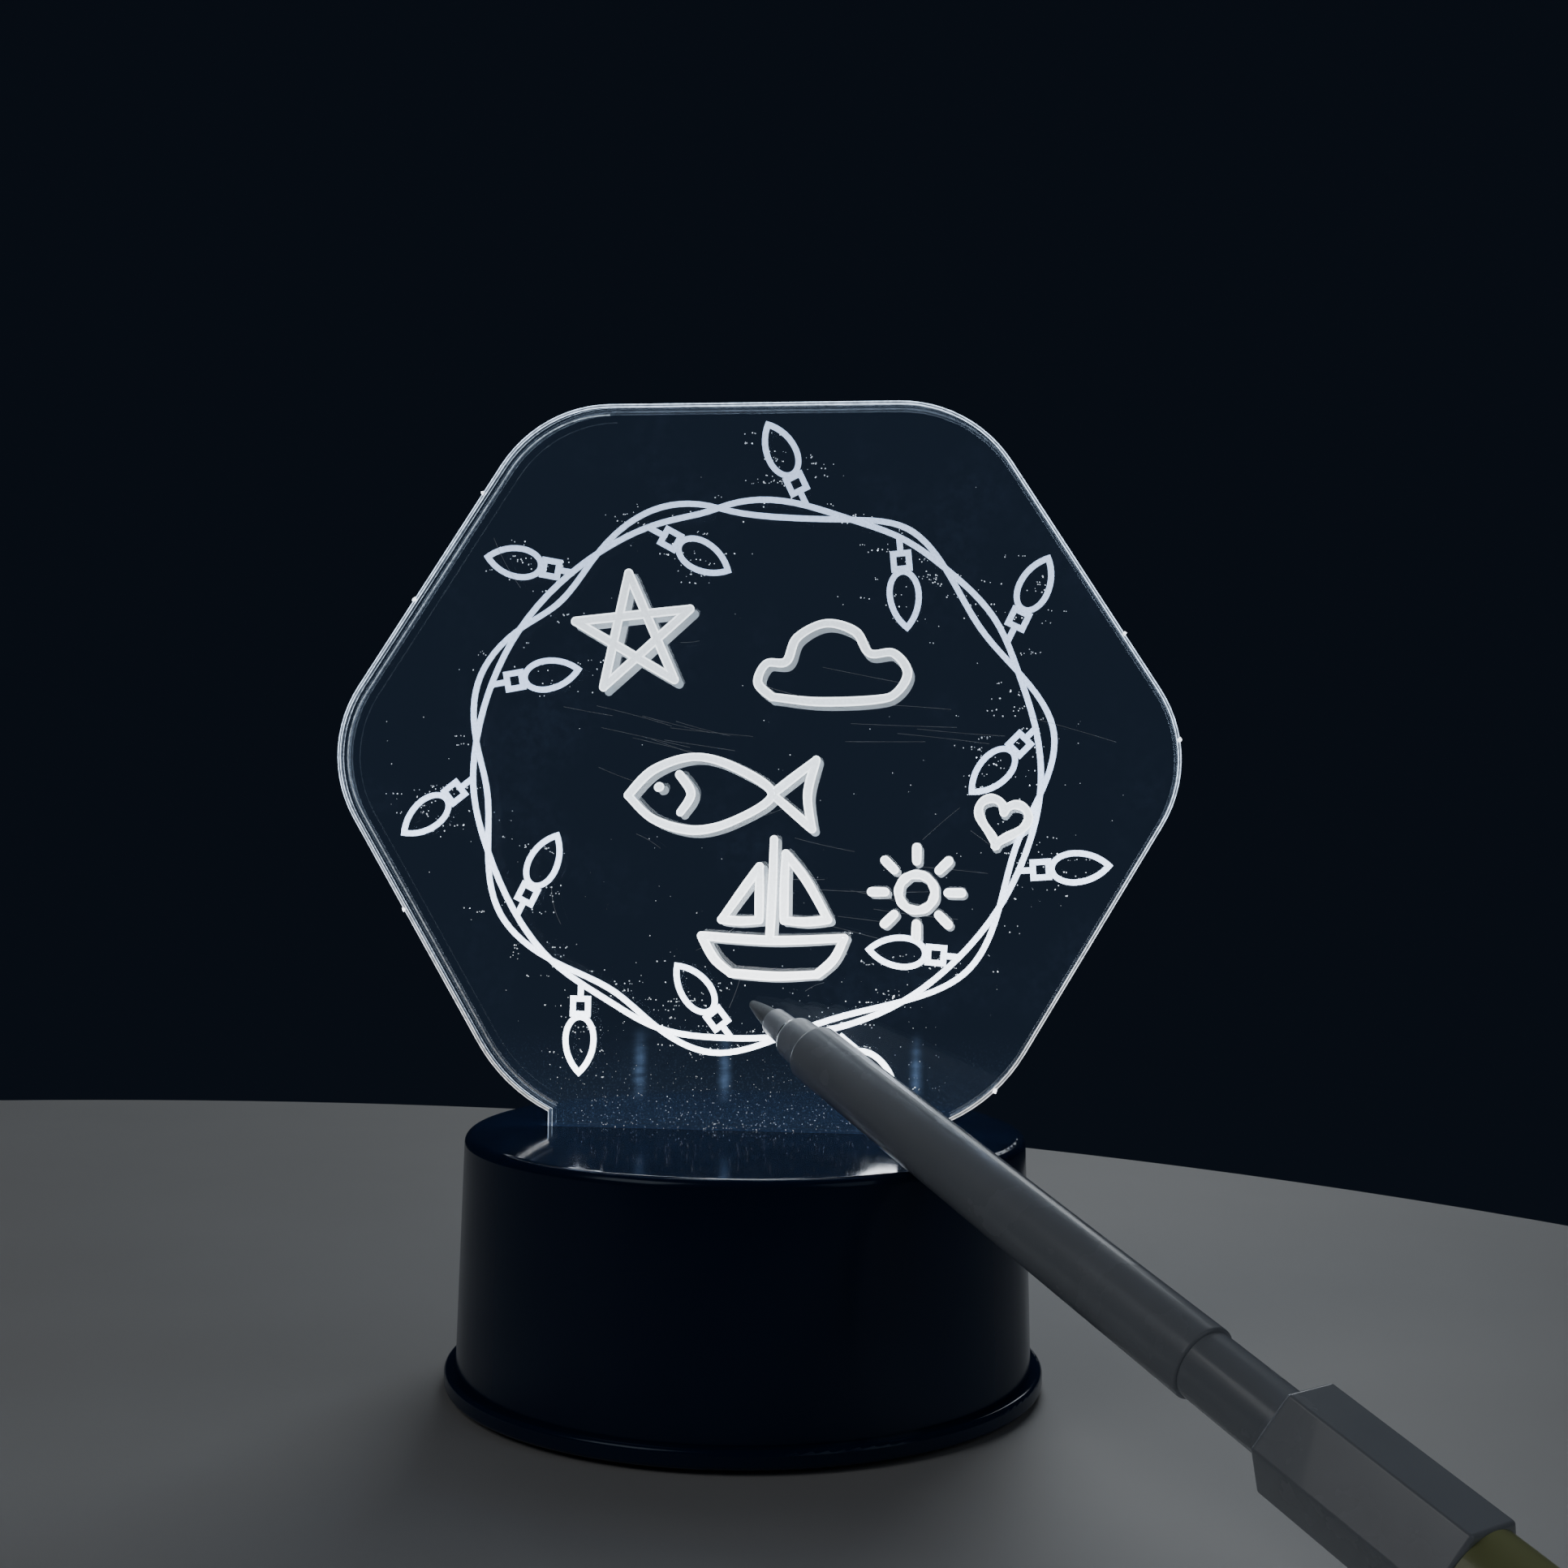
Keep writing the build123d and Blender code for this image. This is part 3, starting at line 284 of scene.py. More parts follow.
class Look:
    """A principled material, with short calls that add to its nodes."""

    def __init__(self, name, colour, roughness, **values):
        self.material = bpy.data.materials.new(name)
        self.material.use_nodes = True
        self.tree = self.material.node_tree
        self.shader = self.tree.nodes["Principled BSDF"]
        self.set("Base Color", (*colour, 1))
        self.set("Roughness", roughness)
        for key, value in values.items():
            self.set(key.replace("_", " ").title().replace("Ior", "IOR"), value)
        coordinates = self.tree.nodes.new("ShaderNodeTexCoord")
        self.place = coordinates.outputs["Object"]
        self.facing = coordinates.outputs["Normal"]

    def set(self, socket, value):
        """Give one of the shader's sockets a value or another node's output."""
        if isinstance(value, bpy.types.NodeSocket):
            self.tree.links.new(value, self.shader.inputs[socket])
        else:
            self.shader.inputs[socket].default_value = value

    def node(self, kind, *values, **settings):
        """A node with its settings and its first inputs filled, by value or by link."""
        node = self.tree.nodes.new("ShaderNode" + kind)
        for key, value in settings.items():
            setattr(node, key, value)
        for socket, value in zip(node.inputs, values):
            if isinstance(value, bpy.types.NodeSocket):
                self.tree.links.new(value, socket)
            else:
                socket.default_value = value
        return node

    def math(self, operation, *values):
        return self.node("Math", *values, operation=operation).outputs[0]

    def axis(self, vector, letter):
        return self.node("SeparateXYZ", vector).outputs[letter]

    def stretched(self, x, y, z):
        """The place in the piece, scaled by axis."""
        return self.node("VectorMath", self.place, (x, y, z), operation="MULTIPLY").outputs[0]

    def noise(self, size, detail=2.0, stretch=(1, 1, 1)):
        """Smooth noise from 0 to 1, its features about one size across, in metres."""
        texture = self.node("TexNoise")
        self.tree.links.new(self.stretched(*stretch), texture.inputs["Vector"])
        texture.inputs["Scale"].default_value = 1 / size
        texture.inputs["Detail"].default_value = detail
        return texture.outputs[0]

    def remap(self, value, low, high, to_low=0.0, to_high=1.0):
        return self.node("MapRange", value, low, high, to_low, to_high).outputs[0]

    def blend(self, share, first, second):
        """A colour between two others."""
        node = self.node("Mix", data_type="RGBA")
        self.tree.links.new(share, node.inputs["Factor"])
        node.inputs[6].default_value = (*first, 1)
        node.inputs[7].default_value = (*second, 1)
        return node.outputs[2]

    def bump(self, height, distance):
        node = self.node("Bump")
        node.inputs["Strength"].default_value = 1.0
        node.inputs["Distance"].default_value = distance
        self.tree.links.new(height, node.inputs["Height"])
        self.set("Normal", node.outputs[0])


def moulded(name, colour, roughness, grain=SKIN_GRAIN, depth=SKIN_DEPTH, **values):
    """Moulded plastic: a faint skin texture, and a polish and colour that vary a little."""
    look = Look(name, colour, roughness, **values)
    wear = look.noise(WEAR_PATCHES, detail=4)
    look.set("Roughness", look.remap(wear, 0.3, 0.7, roughness - 0.03, roughness + 0.06))
    paler = [min(1.0, c * 1.12 + 0.004) for c in colour]
    look.set("Base Color", look.blend(look.noise(TONE_PATCHES, detail=5), colour, paler))
    look.bump(look.noise(grain, detail=3), depth)
    return look


def white_plastic_shaded():
    """The pen's body: a thin gloss over plastic that light enters a little way."""
    # Its white is darkened to a blue grey: painted shade of the dim room.
    look = moulded("white_plastic_shaded", (0.4, 0.43, 0.47), 0.24, coat_weight=0.25)
    look.set("Subsurface Weight", 0.08)
    look.set("Subsurface Radius", (SCATTER_RADIUS, SCATTER_RADIUS, SCATTER_RADIUS))
    return look


def glossy_base():
    """Black glossy plastic: its flat top almost a mirror, its sides a little softer."""
    # Dark navy in place of black, and lighter: painted light standing in for the dim blue light on the black
    # base.
    dark, paler = (0.006, 0.019, 0.06), (0.009, 0.026, 0.074)
    look = Look("black_plastic", dark, 0.12, ior=1.45)
    look.set("Specular Tint", (0.72, 0.86, 1.0, 1))
    upward = look.remap(look.axis(look.facing, "Z"), 0.8, 1.0, 0.17, 0.06)
    wear = look.remap(look.noise(WEAR_PATCHES, detail=4), 0.3, 0.7, -0.01, 0.04)
    look.set("Roughness", look.math("ADD", upward, wear))
    look.set("Base Color", look.blend(look.noise(TONE_PATCHES, detail=5), dark, paler))
    look.bump(look.noise(SKIN_GRAIN, detail=3), BASE_SKIN_DEPTH)
    return look


def metal(name, colour, roughness, stretch=(1, 1, 1)):
    """Drawn or plated metal with fine marks along it."""
    look = Look(name, colour, roughness, metallic=1.0)
    marks = look.noise(METAL_GRAIN, detail=4, stretch=stretch)
    look.set("Roughness", look.remap(marks, 0.25, 0.75, roughness * 0.7, roughness * 1.4))
    look.bump(marks, METAL_DEPTH)
    return look


def felt(name, colour, fibre):
    """Pressed fibre for the nib and the reservoir."""
    look = Look(name, colour, 0.85)
    fibres = look.noise(fibre, detail=6)
    darker = [c * 0.78 for c in colour]
    look.set("Base Color", look.blend(look.remap(fibres, 0.35, 0.7), darker, colour))
    look.bump(fibres, FIBRE_DEPTH)
    return look


def circuit_board(name, colour, copper):
    """Solder mask with copper tracks that show through it."""
    look = Look(name, colour, 0.32)
    columns = look.node("TexWave", wave_type="BANDS", bands_direction="X")
    look.tree.links.new(look.place, columns.inputs["Vector"])
    columns.inputs["Scale"].default_value = TRACKS_PER_METRE
    columns.inputs["Distortion"].default_value = 1.5
    track = look.math("GREATER_THAN", columns.outputs["Fac"], 0.72)
    look.set("Base Color", look.blend(track, colour, copper))
    look.bump(track, TRACK_HEIGHT)
    return look


def cell_sleeve():
    """A cell's sleeve: a plain two-tone wrap with a metal end."""
    look = Look("cell_sleeve", (0.05, 0.05, 0.06), 0.28)
    along = look.math("ABSOLUTE", look.axis(look.place, "Y"))
    end = look.remap(along, CELL_END_START, CELL_END_FULL)
    look.set("Base Color", look.blend(end, (0.035, 0.12, 0.07), (0.62, 0.6, 0.56)))
    look.bump(look.noise(SLEEVE_GRAIN), SLEEVE_DEPTH)
    return look


def led_lens():
    """The LEDs' warm domes, alight."""
    look = Look("led_lens", (0.95, 0.93, 0.8), 0.3)
    look.set("Emission Color", (0.85, 0.92, 1.0, 1))
    look.set("Emission Strength", look.remap(look.noise(LENS_GRAIN), 0.3, 0.7, 14.0, 22.0))
    return look


def cut_edge_light(look):
    """Strength of the light in the panel's cut edge: bright lips, saw marks, and more of it facing up."""
    depth = look.axis(look.place, "Y")
    upward = look.remap(look.axis(look.facing, "Z"), -1.0, 1.0, 0.7, 1.5)
    front_lip = look.remap(depth, *FRONT_LIP, 0.0, 5.0)
    back_lip = look.remap(depth, *BACK_LIP, 0.0, 2.6)
    saw_marks = look.remap(look.noise(SAW_MARKS, detail=4, stretch=(1, 0.3, 1)), 0.35, 0.68, 0.35, 1.1)
    sheen = look.noise(SHEEN_MARKS, detail=3, stretch=(0.12, 1, 0.12))
    sheen = look.remap(sheen, 0.4, 0.7, 0.06, 0.42)
    drift = look.remap(look.noise(EDGE_DRIFT, detail=3), 0.35, 0.65, 0.6, 1.2)
    edge = look.math("ADD", look.math("ADD", front_lip, back_lip), sheen)
    marked = look.math("MULTIPLY", edge, saw_marks)
    return look.math("MULTIPLY", marked, look.math("MULTIPLY", drift, upward))


def led_painted_images(look, height):
    """Strength of the LEDs' painted images: soft upright streaks of light above the panel's foot."""
    rising = look.remap(height, STREAK_LOW, STREAK_LOW + STREAK_RISE)
    falling = look.remap(height, STREAK_HIGH - STREAK_FALL, STREAK_HIGH, 1.0, 0.0)
    ripple = look.remap(look.noise(STREAK_RIPPLE, detail=3, stretch=(0.1, 0.1, 1)), 0.35, 0.65, 0.25, 1.0)
    image = 0.0
    for place in STREAK_PLACES:
        aside = look.math("ABSOLUTE", look.math("SUBTRACT", look.axis(look.place, "X"), place))
        share = look.math("POWER", look.remap(aside, 0.0, STREAK_HALF_WIDTH, 1.0, 0.0), 1.6)
        image = look.math("ADD", image, share)
    image = look.math("MULTIPLY", look.math("MULTIPLY", image, 0.13), look.math("MULTIPLY", rising, falling))
    return look.math("MULTIPLY", image, ripple)


def face_light(look):
    """Strength of the painted light on the panel's faces: a glowing veil, lit smears, lit dust near the foot,
    the LEDs' painted images.
    """
    height = look.axis(look.place, "Z")
    smear = look.remap(look.noise(SMEAR_SIZE, detail=2), 0.52, 0.75, 0.0, 1.0)
    haze = look.math("MULTIPLY", look.remap(look.noise(HAZE_GRAIN, detail=6), 0.4, 0.8, 0.0, 0.012), smear)
    near_foot = look.math("POWER", look.remap(height, PANEL_FOOT, DUST_TOP, 1.0, 0.0), 1.5)
    dust = look.remap(look.noise(DUST_GRAIN, detail=5), 0.58, 0.76, 0.0, 0.14)
    dust = look.math("MULTIPLY", dust, near_foot)
    veil = look.math("ADD", look.math("MULTIPLY", near_foot, 0.008), 0.0082)
    return look.math("ADD", look.math("ADD", haze, dust), look.math("ADD", veil, led_painted_images(look, height)))


def clear_acrylic():
    """The panel: clear, its cut edges alight and its faces faintly aglow with lit haze, both painted light.
    """
    look = Look("clear_acrylic", (0.95, 0.98, 1.0), 0.012, ior=1.49)
    look.set("Transmission Weight", 1.0)
    side = look.math("LESS_THAN", look.math("ABSOLUTE", look.axis(look.facing, "Y")), 0.5)
    edge = look.math("MULTIPLY", cut_edge_light(look), side)
    face = look.math("MULTIPLY", face_light(look), look.math("SUBTRACT", 1.0, side))
    look.set("Emission Color", look.blend(side, (0.34, 0.56, 1.0), (0.66, 0.8, 1.0)))
    look.set("Emission Strength", look.math("ADD", edge, face))
    return look


def lit(name, colour, foot_strength, top_strength, grain, grain_low):
    """A frosted or inked mark that the panel's light fills, its strength given at the foot and the top."""
    look = Look(name, (0.9, 0.93, 0.96), 0.9)
    height = look.axis(look.place, "Z")
    down = look.remap(height, PANEL_FOOT, PANEL_TOP, 1.0, 0.0)
    down = look.math("POWER", down, LIGHT_FALL)
    strength = look.remap(down, 0.0, 1.0, top_strength, foot_strength)
    grains = look.remap(look.noise(grain, detail=2), 0.35, 0.65, grain_low, 1.0)
    warm = look.remap(height, PANEL_FOOT, PANEL_FOOT + WARM_RISE)
    look.set("Emission Color", look.blend(warm, (1.0, 1.0, 1.0), colour))
    look.set("Emission Strength", look.math("MULTIPLY", strength, grains))
    look.bump(look.noise(grain), MARK_DEPTH)
    return look


def make_camera():
    data = bpy.data.cameras.new("camera")
    data.sensor_width = SENSOR
    data.lens = SENSOR * FOCAL_PIXELS / PHOTO_SIDE
    data.clip_start = CAMERA_CLIP_START
    camera = link(bpy.data.objects.new("camera", data))
    level = math.cos(CAMERA_PITCH)
    forward = Vector((math.sin(CAMERA_YAW) * level, math.cos(CAMERA_YAW) * level, math.sin(CAMERA_PITCH)))
    right = Vector((math.cos(CAMERA_YAW), -math.sin(CAMERA_YAW), 0))
    up = right.cross(forward)
    tilted_right = right * math.cos(CAMERA_ROLL) + up * math.sin(CAMERA_ROLL)
    tilted_up = up * math.cos(CAMERA_ROLL) - right * math.sin(CAMERA_ROLL)
    turn = Matrix((tilted_right, tilted_up, -forward)).transposed().to_4x4()
    camera.matrix_world = Matrix.Translation(CAMERA_PLACE) @ turn
    bpy.context.scene.camera = camera


def make_light(name, place, target, size, power, colour):
    """A soft square lamp that points at a target."""
    data = bpy.data.lights.new(name, "AREA")
    data.size = size
    data.energy = power
    data.color = colour
    lamp = link(bpy.data.objects.new(name, data))
    lamp.location = place
    lamp.rotation_mode = "QUATERNION"
    lamp.rotation_quaternion = (Vector(target) - Vector(place)).to_track_quat("-Z", "Y")


def make_table():
    """A pale table top with a rounded edge."""
    look = Look("table", (0.6, 0.6, 0.59), 0.5)
    patches = look.noise(TABLE_PATCHES, detail=6)
    look.set("Base Color", look.blend(patches, (0.56, 0.56, 0.55), (0.64, 0.64, 0.63)))
    look.bump(look.noise(TABLE_GRAIN, detail=4), TABLE_GRAIN_DEPTH)
    rim = []
    for i in range(TABLE_SIDES):
        angle = math.tau * i / TABLE_SIDES
        near = TABLE_NEAR_SHARE if angle > math.pi else 1.0
        x = TABLE_CENTRE.x + TABLE_RADIUS * math.cos(angle)
        y = TABLE_CENTRE.y + TABLE_RADIUS * near * math.sin(angle)
        rim.append((x, y))
    vertices = [(x, y, -TABLE_THICKNESS) for x, y in rim] + [(x, y, 0) for x, y in rim]
    faces = [tuple(range(TABLE_SIDES, 2 * TABLE_SIDES)), tuple(reversed(range(TABLE_SIDES)))]
    for i in range(TABLE_SIDES):
        j = (i + 1) % TABLE_SIDES
        faces.append((i, j, TABLE_SIDES + j, TABLE_SIDES + i))
    table = mesh_object("table", vertices, faces, look.material)
    rounding = table.modifiers.new("edge", "BEVEL")
    rounding.width = TABLE_EDGE
    rounding.segments = TABLE_EDGE_STEPS


def make_stage():
    """The table in a dark room, softly lit."""
    make_table()
    world = bpy.data.worlds.new("room")
    world.use_nodes = True
    world.node_tree.nodes["Background"].inputs["Color"].default_value = ROOM_COLOUR
    bpy.context.scene.world = world
    for lamp in LAMPS:
        make_light(*lamp)


def make_engraving():
    """The frosted floor of the panel's grooves, alight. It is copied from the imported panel's own faces."""
    panel = cad_nodes["acrylic_panel"].data
    vertices = []
    faces = []
    for face in panel.polygons:
        corners = [panel.vertices[i].co for i in face.vertices]
        if all(abs(c.y - GROOVE_FLOOR) < HAIR for c in corners):
            faces.append(list(range(len(vertices), len(vertices) + len(corners))))
            vertices.extend((c.x, c.y + HAIR, c.z) for c in corners)
    look = lit("frosted_groove", (0.56, 0.7, 1.0), 9.0, 1.7, GROOVE_GRAIN, 0.75)
    return on_panel("engraved_lights", vertices, faces, look.material)


def smooth_path(points):
    """Points along a smooth curve through the given ones."""
    padded = [points[0], *points, points[-1]]
    path = []
    for a, b, c, d in zip(padded, padded[1:], padded[2:], padded[3:]):
        for step in range(CURVE_STEPS):
            t = step / CURVE_STEPS
            slope = (c - a) * t
            curve = (2 * a - 5 * b + 4 * c - d) * t**2 + (3 * b - a - 3 * c + d) * t**3
            path.append(0.5 * ((2 * b) + slope + curve))
    path.append(points[-1])
    return path


def stroke(points, width, vertices, faces, y, rise):
    """Add one pen stroke, a low flat ribbon with round ends, to lists of vertices and faces."""
    path = smooth_path([Vector(p) * MM for p in points])
    half = width / 2
    count = len(path)
    rows = []
    for i, point in enumerate(path):
        way = (path[min(i + 1, count - 1)] - path[max(i - 1, 0)]).normalized()
        normal = Vector((-way.y, way.x))
        reach = half * (1 - WOBBLE_SHARE + WOBBLE_SHARE * math.sin(i * WOBBLE_TURN))
        rows.append((point, normal, reach))
    first, last = rows[0], rows[-1]
    start_way = Vector((-first[1].y, first[1].x))
    end_way = Vector((last[1].y, -last[1].x))
    cap_turns = [math.radians(a) for a in CAP_TURNS]
    front = []
    for a in cap_turns:
        front.append((first[0] + start_way * first[2] * math.sin(a), first[1], first[2] * math.cos(a)))
    back = []
    for a in reversed(cap_turns):
        back.append((last[0] + end_way * last[2] * math.sin(a), last[1], last[2] * math.cos(a)))
    rows = front + rows + back
    base = len(vertices)
    for point, normal, reach in rows:
        for across, lift in STROKE_SHARES:
            place = point + normal * reach * across
            vertices.append((place.x, y + rise * lift * reach / half, place.y))
    wide = len(STROKE_SHARES)
    for row in range(len(rows) - 1):
        for column in range(wide - 1):
            corner = base + row * wide + column
            faces.append((corner, corner + 1, corner + wide + 1, corner + wide))


def circle_points(centre, radius, start, turn, steps):
    """Points on a circle in the panel's plane, in millimetres."""
    points = []
    for i in range(steps + 1):
        a = math.radians(start + turn * i / steps)
        points.append((centre[0] + radius * math.cos(a), centre[1] + radius * math.sin(a)))
    return points


def star_strokes(centre, radius, tilt):
    """A five-pointed star, drawn as five straight strokes."""
    corners = [math.radians(90 + tilt + 144 * i) for i in range(6)]
    points = [(centre[0] + radius * math.cos(a), centre[1] + radius * math.sin(a)) for a in corners]
    return [[a, b] for a, b in zip(points, points[1:])]


def sun_strokes(centre, radius, rays):
    """A round sun with short rays. Its circle overlaps a little where it closes."""
    strokes = [circle_points(centre, radius, 80, 366, SUN_STEPS)]
    for i in range(rays):
        a = math.tau * i / rays
        ends = [radius * share for share in SUN_RAY_SHARES]
        strokes.append([(centre[0] + end * math.cos(a), centre[1] + end * math.sin(a)) for end in ends])
    return strokes


def heart_points(centre, size, tilt):
    """A small heart, 32 units of its formula wide."""
    points = []
    lean = math.radians(tilt)
    for i in range(HEART_STEPS + 1):
        t = math.tau * i / HEART_STEPS
        x = 16 * math.sin(t) ** 3
        z = 13 * math.cos(t) - 5 * math.cos(2 * t) - 2 * math.cos(3 * t) - math.cos(4 * t)
        across = size * (x * math.cos(lean) - z * math.sin(lean)) / 32
        up = size * (x * math.sin(lean) + z * math.cos(lean)) / 32
        points.append((centre[0] + across, centre[1] + up))
    return points


def pen_marks():
    """Every stroke on the panel as a list of points in millimetres: small drawings."""
    strokes = star_strokes(STAR_CENTRE, STAR_RADIUS, STAR_TILT)
    strokes.extend([CLOUD, FISH_BODY, *FISH_TAIL, FISH_GILL, FISH_EYE])
    strokes.extend([*BOAT_HULL, BOAT_MAST, *BOAT_SAILS])
    strokes.extend(sun_strokes(SUN_CENTRE, SUN_RADIUS, SUN_RAYS))
    strokes.append(heart_points(HEART_CENTRE, HEART_SIZE, HEART_TILT))
    return strokes


def make_pen_marks():
    """The ink on the front face, its paler rim, and its dim painted reflection in the back face."""
    rim = lit("lit_ink_rim", (0.84, 0.93, 1.0), 7.0, 2.6, INK_GRAIN, 0.85)
    core = lit("lit_ink", (0.8, 0.9, 1.0), 6.0, 1.5, INK_GRAIN, 0.85)
    dim = lit("ink_reflection", (0.78, 0.9, 1.0), 0.3, 0.1, INK_GRAIN, 0.85)
    for name, look, width, y, rise, shift in (
        ("ink_rims", rim, INK_RIM_WIDTH, FRONT_FACE, -INK_HEIGHT, (0.0, 0.0)),
        ("ink_marks", core, INK_WIDTH, FRONT_FACE - HAIR, -INK_HEIGHT, (0.0, 0.0)),
        ("ink_marks_reflection", dim, INK_RIM_WIDTH, BACK_FACE - 2 * HAIR, 0.0, INK_REFLECTION_SHIFT),
    ):
        vertices = []
        faces = []
        for points in pen_marks():
            moved = [(x + shift[0], z + shift[1]) for x, z in points]
            stroke(moved, width, vertices, faces, y, rise)
        on_panel(name, vertices, faces, look.material, smooth=True)


def inside_panel(x, z):
    """Whether a point lies well within the panel's outline."""
    reach = PANEL_HALF_WIDTH - PANEL_MARGIN - PANEL_SLANT * abs(z - PANEL_MIDDLE)
    return abs(x) < reach and PANEL_FOOT < z < PANEL_TOP - PANEL_MARGIN / 2


def make_specks(engraving):
    """Specks that the engraving threw beside its lines, row by row, and dust over the panel."""
    vertices = []
    faces = []

    def facet(x, z, reach, y):
        if not inside_panel(x, z):
            return
        base = len(vertices)
        turn = random.uniform(0, math.pi / 2)
        for corner in range(4):
            a = turn + corner * math.pi / 2
            vertices.append((x + reach * math.cos(a), y, z + reach * math.sin(a)))
        faces.append((base, base + 1, base + 2, base + 3))

    centres = [face.center.copy() for face in engraving.data.polygons]
    for _ in range(SPECK_STARTS):
        start = random.choice(centres)
        side = random.choice(SPECK_SIDES)
        for _ in range(random.randint(*SPECK_ROWS)):
            x = start.x + side * random.uniform(*SPECK_OFFSETS) * MM
            z = start.z + random.gauss(0, SPECK_ROW_SPREAD)
            for _ in range(random.randint(*SPECKS_PER_ROW)):
                x += side * random.expovariate(1 / SPECK_STEP)
                up = z + random.gauss(0, SPECK_SPREAD)
                facet(x, up, random.uniform(*SPECK_SIZES) * MM, BACK_FACE + HAIR)
    for _ in range(DUST_COUNT):
        x = random.uniform(-PANEL_HALF_WIDTH, PANEL_HALF_WIDTH)
        z = PANEL_FOOT + abs(random.gauss(0, DUST_SPREAD_SHARE)) * (PANEL_TOP - PANEL_FOOT)
        facet(x, z, random.uniform(*DUST_SIZES) * MM, FRONT_FACE - HAIR)
    for _ in range(FOOT_DUST_COUNT):
        x = random.uniform(-FOOT_DUST_REACH, FOOT_DUST_REACH)
        z = PANEL_FOOT + random.expovariate(1 / FOOT_DUST_RISE)
        facet(x, z, random.uniform(*FOOT_DUST_SIZES) * MM, FRONT_FACE - HAIR)
    look = lit("lit_dust", (0.8, 0.88, 1.0), 2.4, 2.2, SPECK_GRAIN, 0.2)
    on_panel("panel_specks", vertices, faces, look.material)


def scratch_points(place, heading, bend, length):
    """Points along one slightly bent scratch, in millimetres."""
    x, z = place
    points = []
    for _ in range(SCRATCH_STEPS + 1):
        points.append((x, z))
        x += math.cos(heading) * length / SCRATCH_STEPS
        z += math.sin(heading) * length / SCRATCH_STEPS
        heading += bend / SCRATCH_STEPS
    return points


def make_hairlines():
    """Fine scratches on the panel's front face: a few hairlines, and three fans of rubbed lines."""
    scratches = []
    for _ in range(HAIRLINE_COUNT):
        place = (random.uniform(*HAIRLINE_ACROSS), random.uniform(*HAIRLINE_UP))
        heading = random.uniform(0, math.tau)
        bend = random.uniform(*HAIRLINE_BENDS)
        scratches.append((place, heading, bend, random.uniform(*HAIRLINE_LENGTHS)))
    for centre, spread in FANS:
        for _ in range(FAN_COUNT):
            place = (random.gauss(centre[0], spread), random.gauss(centre[1], FAN_HEIGHT))
            heading = random.gauss(FAN_HEADING, FAN_HEADING_SPREAD)
            bend = random.uniform(*FAN_BENDS)
            scratches.append((place, heading, bend, random.uniform(*FAN_LENGTHS)))
    vertices = []
    faces = []
    for scratch in scratches:
        points = scratch_points(*scratch)
        if all(inside_panel(x * MM, z * MM) for x, z in points):
            stroke(points, SCRATCH_WIDTH, vertices, faces, FRONT_FACE, -SCRATCH_HEIGHT)
    look = lit("lit_scratch", (0.7, 0.82, 1.0), 0.12, 0.045, HAIRLINE_GRAIN, 0.1)
    on_panel("panel_hairlines", vertices, faces, look.material)


def rim_path():
    """The panel's outline above the base, from its left foot round to its right one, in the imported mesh."""
    panel = cad_nodes["acrylic_panel"].data
    uses = {}
    for face in panel.polygons:
        if all(abs(panel.vertices[i].co.y - FRONT_FACE) < HAIR for i in face.vertices):
            for key in face.edge_keys:
                uses[key] = uses.get(key, 0) + 1
    nearby = {}
    for a, b in (key for key, count in uses.items() if count == 1):
        if min(panel.vertices[a].co.z, panel.vertices[b].co.z) > PANEL_FOOT + HAIR:
            nearby.setdefault(a, []).append(b)
            nearby.setdefault(b, []).append(a)
    ends = [i for i, others in nearby.items() if len(others) == 1]
    order = [min(ends, key=lambda i: panel.vertices[i].co.x)]
    while True:
        onward = [i for i in nearby[order[-1]] if i not in order]
        if not onward:
            break
        order.append(onward[0])
    return [Vector((panel.vertices[i].co.x, panel.vertices[i].co.z)) for i in order]


def make_rim_light(path):
    """The light in the panel's polished rim, and its fainter painted image further in, on the left only."""
    steps = []
    for i, point in enumerate(path):
        way = (path[min(i + 1, len(path) - 1)] - path[max(i - 1, 0)]).normalized()
        steps.append((point, Vector((way.y, -way.x))))
    left_steps = [(point, inward) for point, inward in steps if point.x < IMAGE_END]
    rim = lit("lit_rim", (0.62, 0.78, 1.0), 1.5, 3.4, RIM_GRAIN, 0.5)
    middle = lit("lit_rim_middle", (0.5, 0.68, 1.0), 0.15, 0.3, RIM_GRAIN, 0.3)
    image = lit("lit_rim_painted_image", (0.66, 0.82, 1.0), 0.06, 0.9, IMAGE_GRAIN, 0.25)
    for name, look, near, far, run in (
        ("panel_rim_outer", rim, 0.0, RIM_LINE, steps),
        ("panel_rim_middle", middle, RIM_LINE, RIM_INNER_START, steps),
        ("panel_rim_inner", rim, RIM_INNER_START, RIM_INNER_START + RIM_LINE, steps),
        ("panel_rim_painted_image", image, IMAGE_START, IMAGE_START + IMAGE_LINE, left_steps),
    ):
        vertices = []
        for point, inward in run:
            taper = min(1.0, (IMAGE_END - point.x) / IMAGE_FADE) if run is left_steps else 1.0
            for reach in (near, near + (far - near) * taper):
                place = point + inward * reach
                vertices.append((place.x, FRONT_FACE - HAIR / 2, place.y))
        faces = [(2 * i, 2 * i + 1, 2 * i + 3, 2 * i + 2) for i in range(len(run) - 1)]
        on_panel(name, vertices, faces, look.material)


def nearest_on(path, target):
    """The point of a path that lies nearest to a target."""
    spots = []
    for a, b in zip(path, path[1:]):
        run = b - a
        share = min(1.0, max(0.0, (target - a).dot(run) / run.length_squared))
        spots.append(a + run * share)
    return min(spots, key=lambda s: (s - target).length)


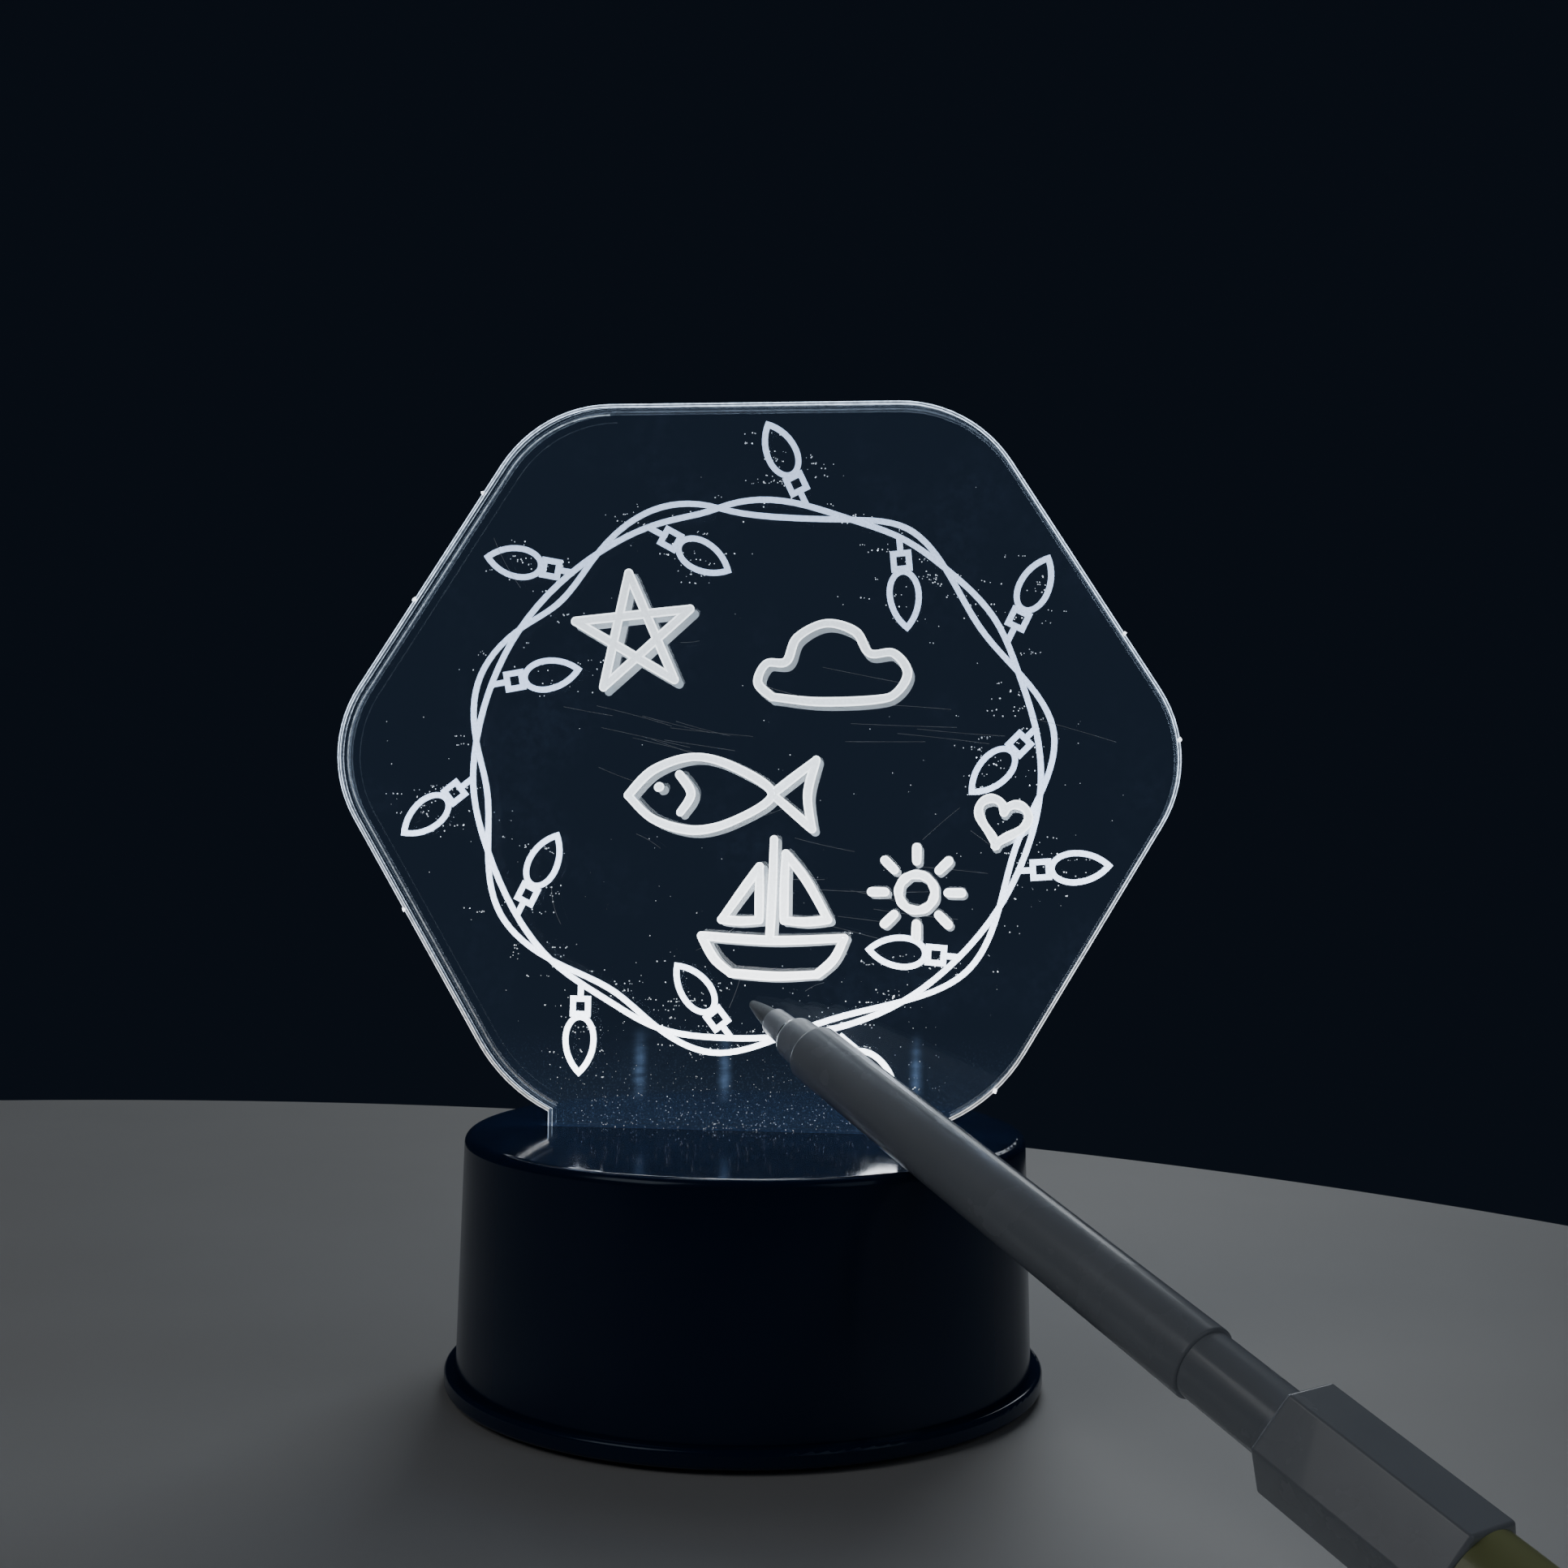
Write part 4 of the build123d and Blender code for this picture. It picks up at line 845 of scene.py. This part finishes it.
def make_edge_nicks(path):
    """Bright nicks on the panel's rim, where the cutter started and where handling chipped it."""
    vertices = []
    faces = []
    for place in NICK_PLACES:
        spot = nearest_on(path, Vector(place) * MM)
        base = len(vertices)
        for corner in range(NICK_CORNERS):
            a = math.tau * corner / NICK_CORNERS + random.uniform(-NICK_TURN, NICK_TURN)
            size = random.uniform(*NICK_SIZES) * MM
            vertices.append((spot.x + size * math.cos(a), FRONT_FACE - HAIR, spot.y + size * math.sin(a)))
        faces.append(tuple(range(base, base + NICK_CORNERS)))
    look = lit("lit_nick", (0.85, 0.92, 1.0), 5.0, 4.0, NICK_GRAIN, 0.6)
    on_panel("panel_nicks", vertices, faces, look.material)


def dress_nodes():
    """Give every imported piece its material."""
    black = glossy_base()
    dark = moulded("dark_plastic", (0.012, 0.013, 0.016), 0.3)
    rubber = moulded("rubber", (0.03, 0.03, 0.032), 0.75, grain=RUBBER_GRAIN, depth=RUBBER_DEPTH)
    white = white_plastic_shaded()
    tinted = moulded("tinted_plastic", (0.42, 0.45, 0.2), 0.28, coat_weight=0.2)
    button = moulded("button_plastic", (0.5, 0.51, 0.52), 0.35)
    steel = metal("steel", (0.62, 0.63, 0.65), 0.28)
    nickel = metal("nickel", (0.72, 0.7, 0.66), 0.22, stretch=(1, 0.2, 1))
    ring = metal("collar_metal", (0.86, 0.87, 0.89), 0.12)
    board = circuit_board("control_board", (0.02, 0.14, 0.06), (0.04, 0.24, 0.1))
    pale_board = circuit_board("led_board", (0.82, 0.83, 0.82), (0.7, 0.71, 0.7))
    chip = moulded("chip_body", (0.02, 0.02, 0.022), 0.5)
    sleeve = cell_sleeve()
    wire = moulded("wire_sleeve", (0.42, 0.03, 0.025), 0.4)
    looks = {
        "acrylic_panel": clear_acrylic(),
        "base_shell": black,
        "bottom_cover": black,
        "battery_door": dark,
        "rubber_feet": rubber,
        "cover_screws": steel,
        "battery_1": sleeve,
        "battery_2": sleeve,
        "battery_3": sleeve,
        "contact_springs": nickel,
        "battery_contacts": nickel,
        "led_board": pale_board,
        "led_chips": led_lens(),
        "led_resistors": chip,
        "led_board_screws": steel,
        "control_board": board,
        "driver_chip": chip,
        "board_components": chip,
        "power_jack": steel,
        "jack_tongue": chip,
        "switch_housing": steel,
        "switch_plunger": white,
        "push_button": button,
        "led_wires": wire,
        "battery_wires": wire,
        "pen_nib": felt("nib_felt", (0.2, 0.22, 0.24), NIB_FIBRE),
        "pen_nib_holder": white,
        "pen_collar": ring,
        "pen_front_section": white,
        "pen_barrel": white,
        "pen_reservoir": felt("reservoir_felt", (0.8, 0.8, 0.78), RESERVOIR_FIBRE),
        "pen_end_plug": white,
        "pen_cap": white,
        "pen_cap_end": tinted,
        "pen_cap_seal": white,
    }
    for name, look in looks.items():
        for slot in cad_nodes[name].material_slots:
            slot.material = look.material


make_camera()
make_stage()
dress_nodes()
engraving = make_engraving()
make_specks(engraving)
make_hairlines()
outline = rim_path()
make_rim_light(outline)
make_edge_nicks(outline)
make_pen_marks()
